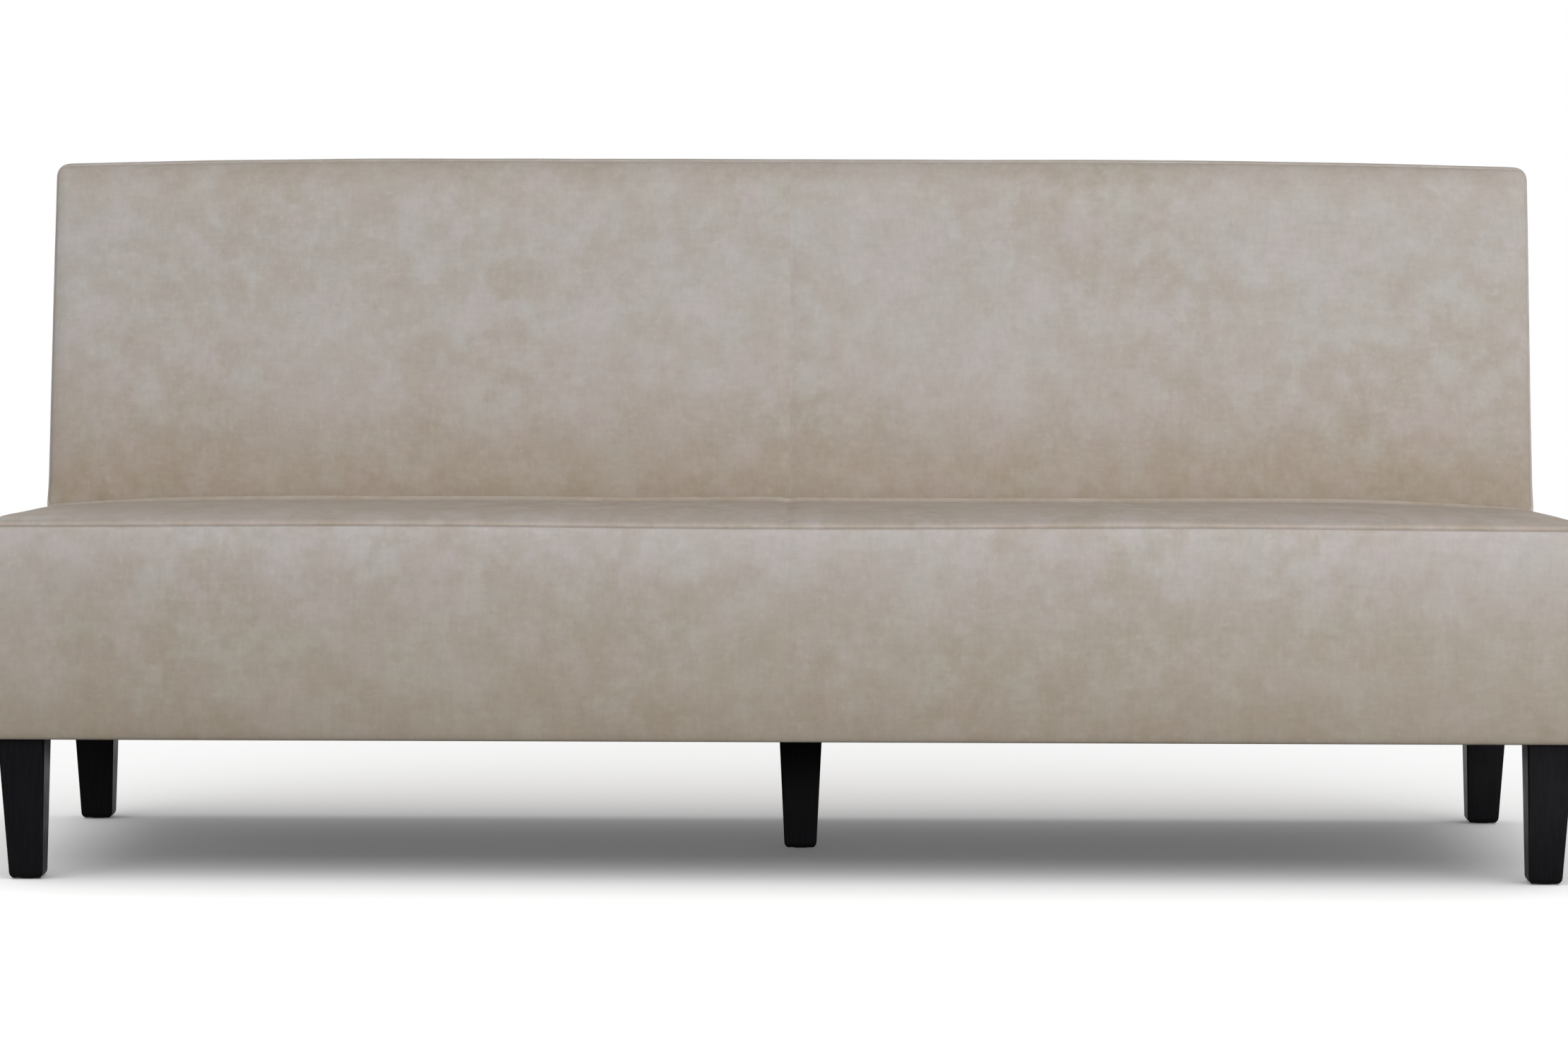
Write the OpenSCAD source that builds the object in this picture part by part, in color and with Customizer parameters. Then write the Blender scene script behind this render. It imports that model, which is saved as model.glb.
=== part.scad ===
// Armless three seat sofa with a tight seat and a tight back, on five tapered legs.
// X runs along the sofa, the front faces -Y and Z is up.
// The origin is on the floor, below the middle of the sofa's bounding box.
// Depths are measured from the front border, and placed() brings them to the origin.

/* [Overall] */
// Width across the side borders
sofa_width = 2055; // [1500:5:2400]
// Depth of the seat box at its foot, front border to outside back
box_depth = 735; // [700:5:850]
// Height of the back above the floor at the middle
sofa_height = 930; // [860:5:1000]
// Height of the front seat seam above the floor
seam_height = 457; // [435:1:500]
// Height of the legs, floor to underside of the seat box
leg_height = 182; // [120:1:200]

/* [Seat] */
// Distance from the front border to the crevice between seat and back
crevice_depth = 548; // [500:1:580]
// Fall of the side seams from the front corner to the crevice
seam_fall = 8; // [0:0.5:15]
// Lift of the front seam in the middle of each half
seam_lift = 2.5; // [0:0.5:6]
// Height of the rolled edge above the seat seam
seat_roll = 5; // [2:0.5:10]
// Crown of the seat above its rolled edge
seat_crown = 10; // [0:0.5:30]
// Dip of the seam down the middle of the seat
seat_dip = 1.6; // [0:0.1:4]
// Height of the lip that the seat makes against the back
lip_height = 4; // [0:0.5:10]

/* [Back] */
// Rake of the inside back, in degrees from upright
back_rake = 12.5; // [6:0.5:14]
// Lean of the outside back, in degrees from upright
outside_lean = 3; // [0:0.5:5]
// Depth of the rolled edge of the inside back
back_roll = 8; // [3:0.5:12]
// Crown of the inside back in front of its rolled edge
back_crown = 6; // [0:0.5:20]
// Dip of the seam down the middle of the back
back_dip = 1.6; // [0:0.1:4]
// Rise of the top edge from its ends to the middle
top_lift = 6; // [0:0.5:12]
// Radius of the back's two top corners, seen from the front
top_corner_r = 16; // [15.5:0.5:24]

/* [Borders] */
// Radius of the two front corners, seen from above
front_corner_r = 22; // [21:0.5:30]
// Bulge of the border between its two edges
border_belly = 6; // [0:0.5:6]
// Depth that a seam draws a border in
seam_draw = 4; // [1:0.5:4]
// Width of the border fabric that is turned under the frame
turn_under = 20; // [16:0.5:20]

/* [Upholstery] */
// Thickness of the cover fabric
cover_t = 1.2; // [0.8:0.1:1.2]
// Thickness of the polyester wadding
wadding_t = 8; // [5:0.5:9]
// Clearance between one soft layer and the next
soft_gap = 0.3; // [0.2:0.05:0.4]
// Thickness of the felt pad over the springs
pad_t = 5; // [3:0.5:8]
// Thickness of the dust cover under the seat
dust_t = 0.6; // [0.4:0.1:1]

/* [Frame] */
// Thickness of the seat rails
rail_t = 20; // [18:0.5:22]
// Depth of the springs and padding, from the rails' top to the front seat seam
seat_padding = 123; // [110:1:135]
// Distance from the cover to the frame at the front, sides and top
frame_inset = 15; // [14.5:0.5:15.5]
// Distance from the outside back to the frame
rear_inset = 6; // [4:0.5:8]
// Chamfer on the upright corners of the front rail
rail_chamfer = 6; // [6:0.5:8]
// Width of the flat centre rail
centre_rail_w = 70; // [60:1:90]
// Share of the rails' height that the flat centre rail is thick
centre_rail_share = 0.3; // [0.2:0.01:0.36]
// Leg of the triangular corner blocks
block_leg = 110; // [100:1:120]
// Thickness of the corner blocks at their two tips
block_tip = 20; // [16:1:24]
// Share of the rails' height that the corner blocks stand
block_share = 0.33; // [0.25:0.01:0.36]
// Width of the back posts
post_w = 42; // [38:1:48]
// Depth of the posts at the top of the back
post_top_d = 49; // [40:1:60]
// Depth of the posts at the height of the seat seam
post_foot_d = 88; // [75:1:95]
// Share of the rails' height that the back posts lap
post_lap_share = 0.585; // [0.5:0.005:0.6]
// Height of the back's top rail
top_rail_h = 60; // [45:1:80]
// Height of the back's lower rail
lower_rail_h = 60; // [45:1:70]
// Thickness of the back's lower rail
lower_rail_t = 22; // [18:0.5:26]
// Diameter of the frame dowels
dowel_d = 10; // [8:0.5:10]
// Length of the frame dowels
dowel_l = 50; // [40:1:60]

/* [Springs] */
// Number of sinuous springs across the seat
spring_count = 14; // [14:1:14]
// Wire size of the springs
wire_d = 3.8; // [3:0.1:4.5]
// Width of a spring over its bends
spring_w = 50; // [44:1:56]
// Rise of the springs at the middle of their span
spring_rise = 40; // [20:1:50]
// Number of bends in a spring
bend_count = 24; // [20:2:28]
// Thickness of the spring clips
clip_t = 1.2; // [1:0.1:1.5]
// Width of the spring clips
clip_w = 16; // [12:1:20]
// Diameter of the tie wires across the springs
tie_d = 2.4; // [2:0.1:3]
// Width of the back's webbing straps
strap_w = 50; // [40:1:60]
// Thickness of the webbing
strap_t = 1.5; // [1.2:0.1:1.6]
// Number of upright webbing straps
upright_straps = 11; // [7:1:13]
// Number of level webbing straps
level_straps = 4; // [3:1:4]

/* [Legs] */
// Width of a leg where it meets the box
leg_top_w = 60; // [54:1:64]
// Width of a leg at the floor
leg_foot_w = 43; // [36:1:46]
// Inset of the feet's centres from the sides of the sofa
leg_side_inset = 51.5; // [51:0.5:54]
// Depth of the front feet's centres behind the front border
leg_front_inset = 50; // [50:0.5:54]
// Inset of the rear feet's centres from the outside back
leg_rear_inset = 51; // [47:0.5:56]
// Place of the centre leg to the right of the middle
centre_leg_x = 18; // [-60:1:60]
// Depth of the centre leg behind the front border
centre_leg_depth = 386; // [300:1:450]
// Radius of the rounded edge round the foot of a leg
foot_r = 8; // [4:0.5:10]
// Height that the glides stand proud of the feet
glide_proud = 1.5; // [1:0.5:3]
// Diameter of the glides
glide_d = 24; // [18:1:28]
// Diameter of the leg bolts
bolt_d = 8; // [6:1:8]
// Length of a leg bolt inside the leg
bolt_in_leg = 45; // [35:1:60]

/* [Hidden] */
spring_names = [for (i = [1:spring_count]) str("seat_spring_", i < 10 ? "0" : "", i)];
$fn = 48;

// One overrun serves all cuts
over = 1;
// Clearance of a fastener or dowel in its hole, on the diameter
hole_fit = 0.2;

// Where stations lie along a rolled edge, along the ramp to the crown, and between the ramps
roll_shares = [0, 0.3, 1];
ramp_shares = [0.45, 1];
mid_shares = [0.5, 1];

// Run of the rolled edges, and of the ramps from them to the crown
seat_roll_run = 14;
seat_side_ramp = 240;
seat_front_ramp = 180;
lip_run = 60;
back_roll_run = 14;
back_side_ramp = 220;
back_top_ramp = 160;
back_foot_ramp = 150;
top_lift_run = 300;
border_edge_run = 14;
boxing_edge_run = 14;
dip_run = 14;
boxing_draw = 3;
// Side border carried round the front corner, behind the corner's radius
corner_wrap = 10;
// Depth that the seat cover dives into the crevice, and the back cover behind the seat
seat_tuck = 30;
back_tuck = 50;
// Clearance between cover and cover along a seam
seam_gap = soft_gap;
outside_draw = 3;

half_w = sofa_width / 2;
// Underside of the seat box: legs, dust cover, turned fabric, then the rails
border_foot = leg_height + dust_t;
rail_foot = border_foot + cover_t + soft_gap;
rail_top = seam_height - seat_padding;
rail_h = rail_top - rail_foot;
block_h = block_share * rail_h;
centre_rail_t = centre_rail_share * rail_h;
post_lap = post_lap_share * rail_h;
frame_half = half_w - frame_inset;
rail_in = frame_half - rail_t;
front_rail_back = frame_inset + rail_t;
rear_rail_back = box_depth - rear_inset;
rear_rail_front = rear_rail_back - rail_t;

// Seat seam inside the skin, and the seat's half width and front at that seam
seam_n = border_belly + seam_draw;
seat_half = half_w - seam_n;
seam_rear_z = seam_height - seam_fall;
back_seam_top = sofa_height - top_lift - boxing_draw;
back_half = half_w - boxing_draw;
frame_top = sofa_height - top_lift - frame_inset;

function roll(t) = t >= 1 ? 1 : t <= 0 ? 0 : sqrt(1 - (1 - t) * (1 - t));
function ease(t) = t >= 1 ? 1 : t <= 0 ? 0 : t * (2 - t);
function bell(t) = abs(t) >= 1 ? 0 : (1 - t * t) * (1 - t * t);
function rev(a) = [for (i = [len(a) - 1:-1:0]) a[i]];
function joined(a) = [for (row = a) for (p = row) p];
// Stations from an edge to the top of its ramp
function edge_run(r, ramp) = concat(r * roll_shares, [for (s = ramp_shares) r + s * (ramp - r)]);
// Stations across a run with two like edges and a seam down its middle
function across(run, r, ramp) =
    let (edge = edge_run(r, ramp), mid = run / 2, seam = mid - dip_run,
         half = concat(edge, [for (s = mid_shares) ramp + s * (seam - ramp)]))
    concat(half, [mid], [for (p = rev(half)) run - p]);
// Stations along a run with a rolled edge at both ends and none in its middle
function between_edges(run, r, inner_shares) =
    concat(r * roll_shares, [for (s = inner_shares) r + s * (run - 2 * r)],
        [for (p = rev(r * roll_shares)) run - p]);

// Stations across the sofa that lie clear of its two ends
function clear_of_ends(xs, limit) = [for (x = xs) if (abs(x) < limit) x];

// Closed solid between two like grids of points, the outer seen with rows up and columns right
module between(outer, inner) {
    rows = len(outer);
    cols = len(outer[0]);
    n = rows * cols;
    at = function (i, j) i * cols + j;
    skin = [for (i = [0:rows - 2]) for (j = [0:cols - 2]) each [
        [at(i, j), at(i + 1, j + 1), at(i, j + 1)],
        [at(i, j), at(i + 1, j), at(i + 1, j + 1)],
        [n + at(i, j), n + at(i, j + 1), n + at(i + 1, j + 1)],
        [n + at(i, j), n + at(i + 1, j + 1), n + at(i + 1, j)]
    ]];
    foot = [for (j = [0:cols - 2]) [at(0, j), at(0, j + 1)]];
    head = [for (j = [0:cols - 2]) [at(rows - 1, j + 1), at(rows - 1, j)]];
    left = [for (i = [0:rows - 2]) [at(i + 1, 0), at(i, 0)]];
    right = [for (i = [0:rows - 2]) [at(i, cols - 1), at(i + 1, cols - 1)]];
    rim = [for (e = concat(foot, head, left, right)) each [
        [e[0], e[1], n + e[1]],
        [e[0], n + e[1], n + e[0]]
    ]];
    polyhedron(concat(joined(outer), joined(inner)), concat(skin, rim), convexity = 6);
}

// Brings depths measured from the front border to the origin
outside_top = box_depth + (sofa_height - outside_draw - leg_height) * tan(outside_lean);
module placed() {
    translate([0, -outside_top / 2, 0]) children();
}

// Seat seam and seat surface
function seam_z(x, y) =
    let (v = min(1, max(0, (y - seam_n) / (crevice_depth - seam_n))))
    seam_height - seam_fall * v + seam_lift * (1 - v) * pow(sin(180 * min(1, abs(x) / seat_half)), 2);
function seat_z(x, y, plan, inset) =
    let (side = seat_half - plan - abs(x), front = y - seam_n - plan, rear = crevice_depth - plan - y,
         edge = roll(side / seat_roll_run) * roll(front / seat_roll_run) * roll(rear / seat_roll_run))
    seam_z(x, y) + (seat_roll - inset) * edge
        + seat_crown * ease(side / seat_side_ramp) * ease(front / seat_front_ramp)
        + edge * (lip_height * bell(rear / lip_run - 1 / 2) - seat_dip * bell(x / dip_run));
function seat_xs(plan) =
    let (half = seat_half - plan)
    [for (p = across(2 * half, seat_roll_run, seat_side_ramp)) p - half];
lip_shares = [1.5, 1, 0.5];
plain_shares = [0.5, 1];
function seat_ys(plan) =
    let (foot = seam_n + plan, rear = crevice_depth - plan, ramp_end = foot + seat_front_ramp)
    concat([for (p = edge_run(seat_roll_run, seat_front_ramp)) foot + p],
        [for (s = plain_shares) ramp_end + s * (rear - lip_shares[0] * lip_run - ramp_end)],
        [for (s = [lip_shares[1], lip_shares[2]]) rear - s * lip_run],
        [for (s = rev(roll_shares)) rear - s * seat_roll_run]);
function seat_grid(plan, inset) =
    [for (y = seat_ys(plan)) [for (x = seat_xs(plan)) [x, y, seat_z(x, y, plan, inset)]]];

// Spring arch between the front and rear rails
spring_front = frame_inset + rail_t / 2;
spring_rear = rear_rail_back - rail_t / 2;
spring_span = spring_rear - spring_front;
arch_r = (pow(spring_span, 2) / 4 + pow(spring_rise, 2)) / (2 * spring_rise);
arch_angle = asin(spring_span / 2 / arch_r);
// Bore of the clips, round the corners of the wire at the tilt that it ends with
clip_bore = norm([wire_d / 2, wire_d / 2 / cos(arch_angle) + wire_d / 2 * tan(arch_angle)]) + hole_fit / 2;
wire_z = rail_top + clip_t + clip_bore;
arch_centre = [(spring_front + spring_rear) / 2, wire_z + spring_rise - arch_r];
function arch_z(y, above) =
    arch_centre[1] + sqrt(pow(arch_r + above, 2) - pow(y - arch_centre[0], 2));
pad_under = wire_d / 2 + tie_d + soft_gap;
// The foam's underside is flat between stations, so it clears the arched pad by their sag
foam_run = (crevice_depth - seam_n - seat_front_ramp - lip_shares[0] * lip_run) / 2;
foam_under = pad_under + pad_t + soft_gap + pow(foam_run, 2) / (8 * arch_r);

// Border profile: inset of the skin at a height between the foot and the head
function border_n(z, foot, head, inset) =
    inset + border_belly * pow(2 * (z - foot) / (head - foot) - 1, 2)
        + seam_draw * (2 - roll((z - foot) / border_edge_run) - roll((head - z) / border_edge_run));
border_shares = [0.25, 0.5, 0.75];
function border_zs(foot, head) =
    [for (p = between_edges(head - foot, border_edge_run, border_shares)) foot + p];
function border_head(x, y) = seam_z(x, y) - seam_gap;
// Plan path of the front border: [along, turn], where turn is the angle round a corner
corner_turns = [90, 60, 30, 0];
front_path = let (run = half_w - front_corner_r, wrap = front_corner_r + corner_wrap)
    concat([[-half_w, wrap, 90]], [for (a = corner_turns) [-run, front_corner_r, a]],
        [for (x = clear_of_ends(seat_xs(0), run - seat_roll_run)) [x, front_corner_r, 0]],
        [for (a = rev(corner_turns)) [run, front_corner_r, -a]], [[half_w, wrap, -90]]);
function on_front(p, n) =
    let (r = front_corner_r - n)
    abs(p[0]) >= half_w ? [sign(p[0]) * (half_w - n), p[1]] : [p[0] - r * sin(p[2]), p[1] - r * cos(p[2])];
function front_row(share_row, inset, lift) =
    [for (p = front_path)
        let (head = border_head(p[0], seam_n), foot = border_foot + lift,
             z = border_zs(foot, head)[share_row],
             q = on_front(p, border_n(z, foot, head, inset)))
        [q[0], q[1], z]];
border_rows = len(border_zs(border_foot, seam_height));
function front_grid(inset, lift) = [for (i = [0:border_rows - 1]) front_row(i, inset, lift)];
function front_turned(lift) =
    [[for (p = front_path) let (q = on_front(p, turn_under)) [q[0], q[1], border_foot + lift]]];
// Flat face of the border's wadding against the frame
function front_flat(n, lift) =
    [for (i = [0:border_rows - 1]) [for (p = front_path)
        let (q = on_front(p, n), zs = border_zs(border_foot + lift, border_head(p[0], seam_n)))
        [q[0], q[1], zs[i]]]];

// Left border, with its stations from the outside back to the front corner
side_front = front_corner_r + corner_wrap + soft_gap;
function outside_y(z) = box_depth + (z - leg_height) * tan(outside_lean);
side_shares = [0, 0.5, 1];
function side_depths(z, rear_n) =
    let (rear = outside_y(z) - rear_n)
    concat([for (s = roll_shares) rear - s * border_edge_run],
        [for (s = side_shares) (1 - s) * (rear - border_edge_run - border_edge_run) + s * side_front]);
function side_grid(inset, lift, rear_n) =
    [for (i = [0:border_rows - 1])
        let (rows = border_zs(border_foot + lift, border_head(seat_half, crevice_depth)),
             depths = side_depths(rows[i], rear_n))
        [for (y = depths)
            let (head = border_head(seat_half, y), foot = border_foot + lift, z = border_zs(foot, head)[i],
                 rear = seam_draw * (1 - roll((depths[0] - y) / border_edge_run)))
            [-half_w + border_n(z, foot, head, inset) + rear, y, z]]];
function side_turned(lift, rear_n) =
    [[for (y = side_depths(border_foot, rear_n)) [-half_w + turn_under, y, border_foot + lift]]];
function side_flat(n, lift, rear_n) =
    [for (row = side_grid(0, lift, rear_n)) [for (p = row) [-half_w + n, p[1], p[2]]]];

// Back: the plane of the inside back's seam, and the frame's front plane
back_foot_y = crevice_depth + soft_gap;
function back_rise(z) = max(0, z - seam_rear_z);
function back_seam_y(z) = back_foot_y + back_roll + back_rise(z) * tan(back_rake);
function top_rise(x) = top_lift * ease((back_half - abs(x)) / top_lift_run);
function back_y(x, z, plan, inset) =
    let (side = back_half - plan - abs(x), head = back_seam_top + top_rise(x) - plan - z,
         edge = roll(side / back_roll_run) * roll(head / back_roll_run))
    back_seam_y(z) - (back_roll - inset) * edge
        - back_crown * ease(side / back_side_ramp) * ease(head / back_top_ramp)
            * ease(back_rise(z) / back_foot_ramp)
        + back_dip * edge * bell(x / dip_run);
back_foot_z = seam_rear_z - back_tuck;
// Below the seat the back's layers are narrower, to pass down inside the side borders
tuck_share = (frame_half - soft_gap) / back_half;
function back_xs(plan) =
    let (half = back_half - plan)
    [for (p = across(2 * half, back_roll_run, back_side_ramp)) p - half];
low_back_shares = [0.5, 1];
// Heights up the back at one place along it, closer together at the foot and at the rolled head
function back_zs(x, plan) =
    let (head = back_seam_top + top_rise(x) - plan, low = seam_rear_z + back_foot_ramp)
    concat([back_foot_z, seam_rear_z - soft_gap, seam_rear_z + soft_gap],
        [for (s = low_back_shares) seam_rear_z + s * back_foot_ramp],
        [for (s = plain_shares) low + s * (head - back_top_ramp - low)],
        [for (p = rev(edge_run(back_roll_run, back_top_ramp))) if (p < back_top_ramp) head - p]);
back_rows = len(back_zs(0, 0));
function back_grid(plan, inset) =
    [for (i = [0:back_rows - 1]) [for (at = back_xs(plan))
        let (z = back_zs(at, plan)[i], x = z < seam_rear_z ? tuck_share * at : at)
        [x, back_y(x, z, plan, inset), z]]];
// Front plane of the posts, through their depth at the seat seam and at the top
post_rear_low = outside_y(seam_rear_z) - rear_inset;
post_rear_high = outside_y(frame_top) - rear_inset;
post_front_low = post_rear_low - post_foot_d;
post_front_high = post_rear_high - post_top_d;
post_slope = atan((post_front_high - post_front_low) / (frame_top - seam_rear_z));
function post_front_y(z) = post_front_low + (z - seam_rear_z) * tan(post_slope);
function post_rear_y(z) = outside_y(z) - rear_inset;
weave_gap = 0.2;
webbing_t = (2 * strap_t + weave_gap) / cos(post_slope);

// Boxing band round the two ends and the top of the back
boxing_turns = [0, 30, 60, 90];
boxing_rise_shares = [0, 0.08, 0.5, 1];
boxing_foot = seam_rear_z + seam_gap;
corner_z = sofa_height - top_lift - top_corner_r;
corner_x = half_w - top_corner_r;
boxing_path = concat(
    [for (s = boxing_rise_shares) [-half_w, boxing_foot + s * (corner_z - boxing_foot), 0]],
    [for (a = boxing_turns) if (a > 0) [-corner_x, corner_z, a]],
    [for (x = clear_of_ends(back_xs(0), corner_x - back_roll_run)) [x, corner_z, 90]],
    [for (a = rev(boxing_turns)) if (a > 0) [corner_x, corner_z, a]],
    [for (s = rev(boxing_rise_shares)) [half_w, boxing_foot + s * (corner_z - boxing_foot), 0]]);
function on_boxing(p, n) =
    let (r = top_corner_r - n)
    abs(p[0]) >= half_w ? [sign(p[0]) * (half_w - n), p[1]]
        : abs(p[0]) >= corner_x ? [p[0] + sign(p[0]) * r * cos(p[2]), p[1] + r * sin(p[2])]
        : [p[0], p[1] + r + top_rise(p[0])];
boxing_inner_shares = [0.5];
function boxing_grid(inset, flat_n, front_n, rear_n) =
    let (steps = len(between_edges(1, 0, boxing_inner_shares)))
    [for (k = [0:steps - 1]) [for (p = boxing_path)
        let (level = on_boxing(p, 0)[1],
             front = back_seam_y(level) + front_n, rear = outside_y(level) - rear_n,
             run = rear - front, s = between_edges(run, boxing_edge_run, boxing_inner_shares)[k],
             draw = boxing_draw * (2 - roll(s / boxing_edge_run) - roll((run - s) / boxing_edge_run)),
             q = on_boxing(p, flat_n > 0 ? flat_n : inset + draw))
        [q[0], front + s, q[1]]]];

// Outside back, a flat panel with its head following the top edge
outside_rise_shares = [0, 0.35, 0.7, 1];
function outside_grid(inset) =
    [for (s = outside_rise_shares) [for (x = rev(back_xs(0)))
        let (head = sofa_height - top_lift - outside_draw + top_rise(x),
             z = border_foot + s * (head - border_foot))
        [x, outside_y(z) - inset, z]]];

// Covers
cover_colour = [0.68, 0.64, 0.6];
module seat_top_cover() {
    outer = seat_grid(0, 0);
    inner = seat_grid(cover_t, cover_t);
    tucked = function (grid) [[for (p = grid[len(grid) - 1]) [p[0], p[1], seam_rear_z - seat_tuck]]];
    color(cover_colour) placed() between(concat(outer, tucked(outer)), concat(inner, tucked(inner)));
}
module front_border_cover() {
    outer = concat(front_turned(0), front_grid(0, 0));
    inner = concat(front_turned(cover_t), front_grid(cover_t, cover_t));
    color(cover_colour) placed() between(outer, inner);
}
module left_border() {
    rear_n = cover_t + seam_gap;
    between(concat(side_turned(0, rear_n), side_grid(0, 0, rear_n)),
        concat(side_turned(cover_t, rear_n), side_grid(cover_t, cover_t, rear_n)));
}
module left_border_cover() {
    color(cover_colour) placed() left_border();
}
module right_border_cover() {
    color(cover_colour) placed() mirror([1, 0, 0]) left_border();
}
function lifted_foot(grid, lift) =
    concat([[for (p = grid[0]) [p[0], p[1], p[2] + lift]]], [for (i = [1:back_rows - 1]) grid[i]]);
module inside_back_cover() {
    tucked = function (grid, lift)
        [[for (p = grid[0]) [p[0], post_front_y(back_foot_z) - webbing_t - soft_gap, back_foot_z + lift]]];
    outer = back_grid(0, 0);
    raised = back_grid(cover_t, cover_t);
    inner = lifted_foot(raised, cover_t);
    color(cover_colour) placed()
        between(concat(tucked(outer, 0), outer), concat(tucked(inner, cover_t), inner));
}
module back_boxing() {
    front_n = seam_gap;
    rear_n = cover_t + seam_gap;
    color(cover_colour) placed()
        between(boxing_grid(0, 0, front_n, rear_n), boxing_grid(cover_t, 0, front_n, rear_n));
}
module outside_back_cover() {
    color(cover_colour) placed() between(outside_grid(0), outside_grid(cover_t));
}
module dust_cover() {
    edge = turn_under / 2 + seam_n / 2;
    color([0.12, 0.12, 0.13]) placed() difference() {
        translate([-half_w + edge, edge, leg_height])
            cube([sofa_width - 2 * edge, box_depth - edge - rear_inset, dust_t]);
        for (p = leg_places)
            translate([p[0], p[1], leg_height - over]) cylinder(h = dust_t + 2 * over, d = bolt_d + over);
    }
}

// Padding
wadding_colour = [0.95, 0.95, 0.93];
foam_colour = [0.93, 0.87, 0.66];
first_layer = cover_t + soft_gap;
second_layer = first_layer + wadding_t + soft_gap;
foam_plan = frame_inset + soft_gap - seam_n;
module seat_wadding() {
    top = seat_grid(first_layer, first_layer);
    under = seat_grid(foam_plan - soft_gap, first_layer + wadding_t);
    color(wadding_colour) placed() between(top, under);
}
module seat_foam() {
    top = seat_grid(foam_plan, second_layer);
    under = [for (row = top) [for (p = row) [p[0], p[1], arch_z(p[1], foam_under)]]];
    color(foam_colour) placed() between(top, under);
}
border_wadding_lift = cover_t + soft_gap;
module front_border_wadding() {
    color(wadding_colour) placed()
        between(front_grid(first_layer, border_wadding_lift),
            front_flat(frame_inset - soft_gap, border_wadding_lift));
}
module side_border_wadding() {
    rear_n = rear_inset;
    color(wadding_colour) placed() for (side = [0, 1]) mirror([side, 0, 0])
        between(side_grid(first_layer, border_wadding_lift, rear_n),
            side_flat(frame_inset - soft_gap, border_wadding_lift, rear_n));
}
back_foam_plan = frame_inset + soft_gap - boxing_draw;
module back_wadding() {
    front = lifted_foot(back_grid(first_layer, first_layer), first_layer);
    rear = lifted_foot(back_grid(back_foam_plan - soft_gap, first_layer + wadding_t), first_layer);
    color(wadding_colour) placed() between(front, rear);
}
module back_foam() {
    front = lifted_foot(back_grid(back_foam_plan, second_layer), first_layer);
    rear = [for (row = front) [for (p = row) [p[0], post_front_y(p[2]) - webbing_t - soft_gap, p[2]]]];
    color(foam_colour) placed() between(front, rear);
}
module back_edge_wadding() {
    front_n = first_layer + back_roll;
    rear_n = rear_inset;
    color(wadding_colour) placed()
        between(boxing_grid(first_layer, 0, front_n, rear_n),
            boxing_grid(0, frame_inset - soft_gap, front_n, rear_n));
}
module spring_pad() {
    steps = 16;
    front = frame_inset;
    run = post_front_y(rail_top) - soft_gap - front;
    ys = [for (i = [0:steps]) front + i * run / steps];
    under = [for (y = ys) [y, arch_z(y, pad_under)]];
    top = [for (y = rev(ys)) [y, arch_z(y, pad_under + pad_t)]];
    color([0.55, 0.47, 0.38]) placed() along_x(-rail_in, 2 * rail_in) polygon(concat(under, top));
}

// Seat frame
wood = [0.8, 0.66, 0.45];
steel = [0.6, 0.61, 0.63];
side_rail_x = frame_half - rail_t / 2;
dowel_z_shares = [0.3, 0.72];
// Depth of a dowel in the face that it enters first
dowel_bed = 14;
// Round bar or hole along X or Y, from a face into the wood on both sides of it
module pin_y(at, dir, fit) {
    translate([at[0], at[1] - dir * (dowel_bed + fit / 2), at[2]])
        rotate([-90 * dir, 0, 0]) cylinder(h = dowel_l + fit, d = dowel_d + fit);
}
module pin_x(at, dir, fit) {
    translate([at[0] - dir * (dowel_l - dowel_bed + fit / 2), at[1], at[2]])
        rotate([0, 90 * dir, 0]) cylinder(h = dowel_l + fit, d = dowel_d + fit);
}
module seat_dowels(fit) {
    for (face = [[front_rail_back, 1], [rear_rail_front, -1]]) {
        for (s = dowel_z_shares) for (side = [-1, 1])
            pin_y([side * side_rail_x, face[0], rail_foot + s * rail_h], face[1], fit);
        for (side = [-1, 1]) {
            x = centre_leg_x + side * centre_rail_w / 4;
            pin_y([x, face[0], rail_foot + centre_rail_t / 2], face[1], fit);
        }
    }
}
lower_rail_foot = back_foot_z;
rail_pin_shares = [0.25, 0.75];
function back_rail_pins() = [
    for (s = rail_pin_shares)
        let (z = frame_top - s * top_rail_h) [post_front_y(z) + post_top_d / 2, z],
    for (s = rail_pin_shares)
        let (z = lower_rail_foot + s * lower_rail_h) [post_front_y(z) + lower_rail_t / 2, z]
];
post_in = frame_half - post_w;
module back_dowels(fit) {
    for (side = [-1, 1]) for (p = back_rail_pins()) pin_x([side * post_in, p[0], p[1]], side, fit);
}
module frame_dowels() {
    color(wood) placed() {
        seat_dowels(0);
        back_dowels(0);
    }
}

// Screws, with their heads let into the wood that they hold
screw_d = 4.5;
screw_l = 35;
screw_bed = 14;
screw_head_d = 9;
screw_head_h = 3;
screw_tip_inset = 18;
module screw(fit, reach) {
    translate([0, 0, -screw_bed - fit / 2]) cylinder(h = screw_l + fit / 2, d = screw_d + fit);
    translate([0, 0, screw_l - screw_bed - screw_head_h])
        cylinder(h = screw_head_h + reach, d = screw_head_d + fit);
}
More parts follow.
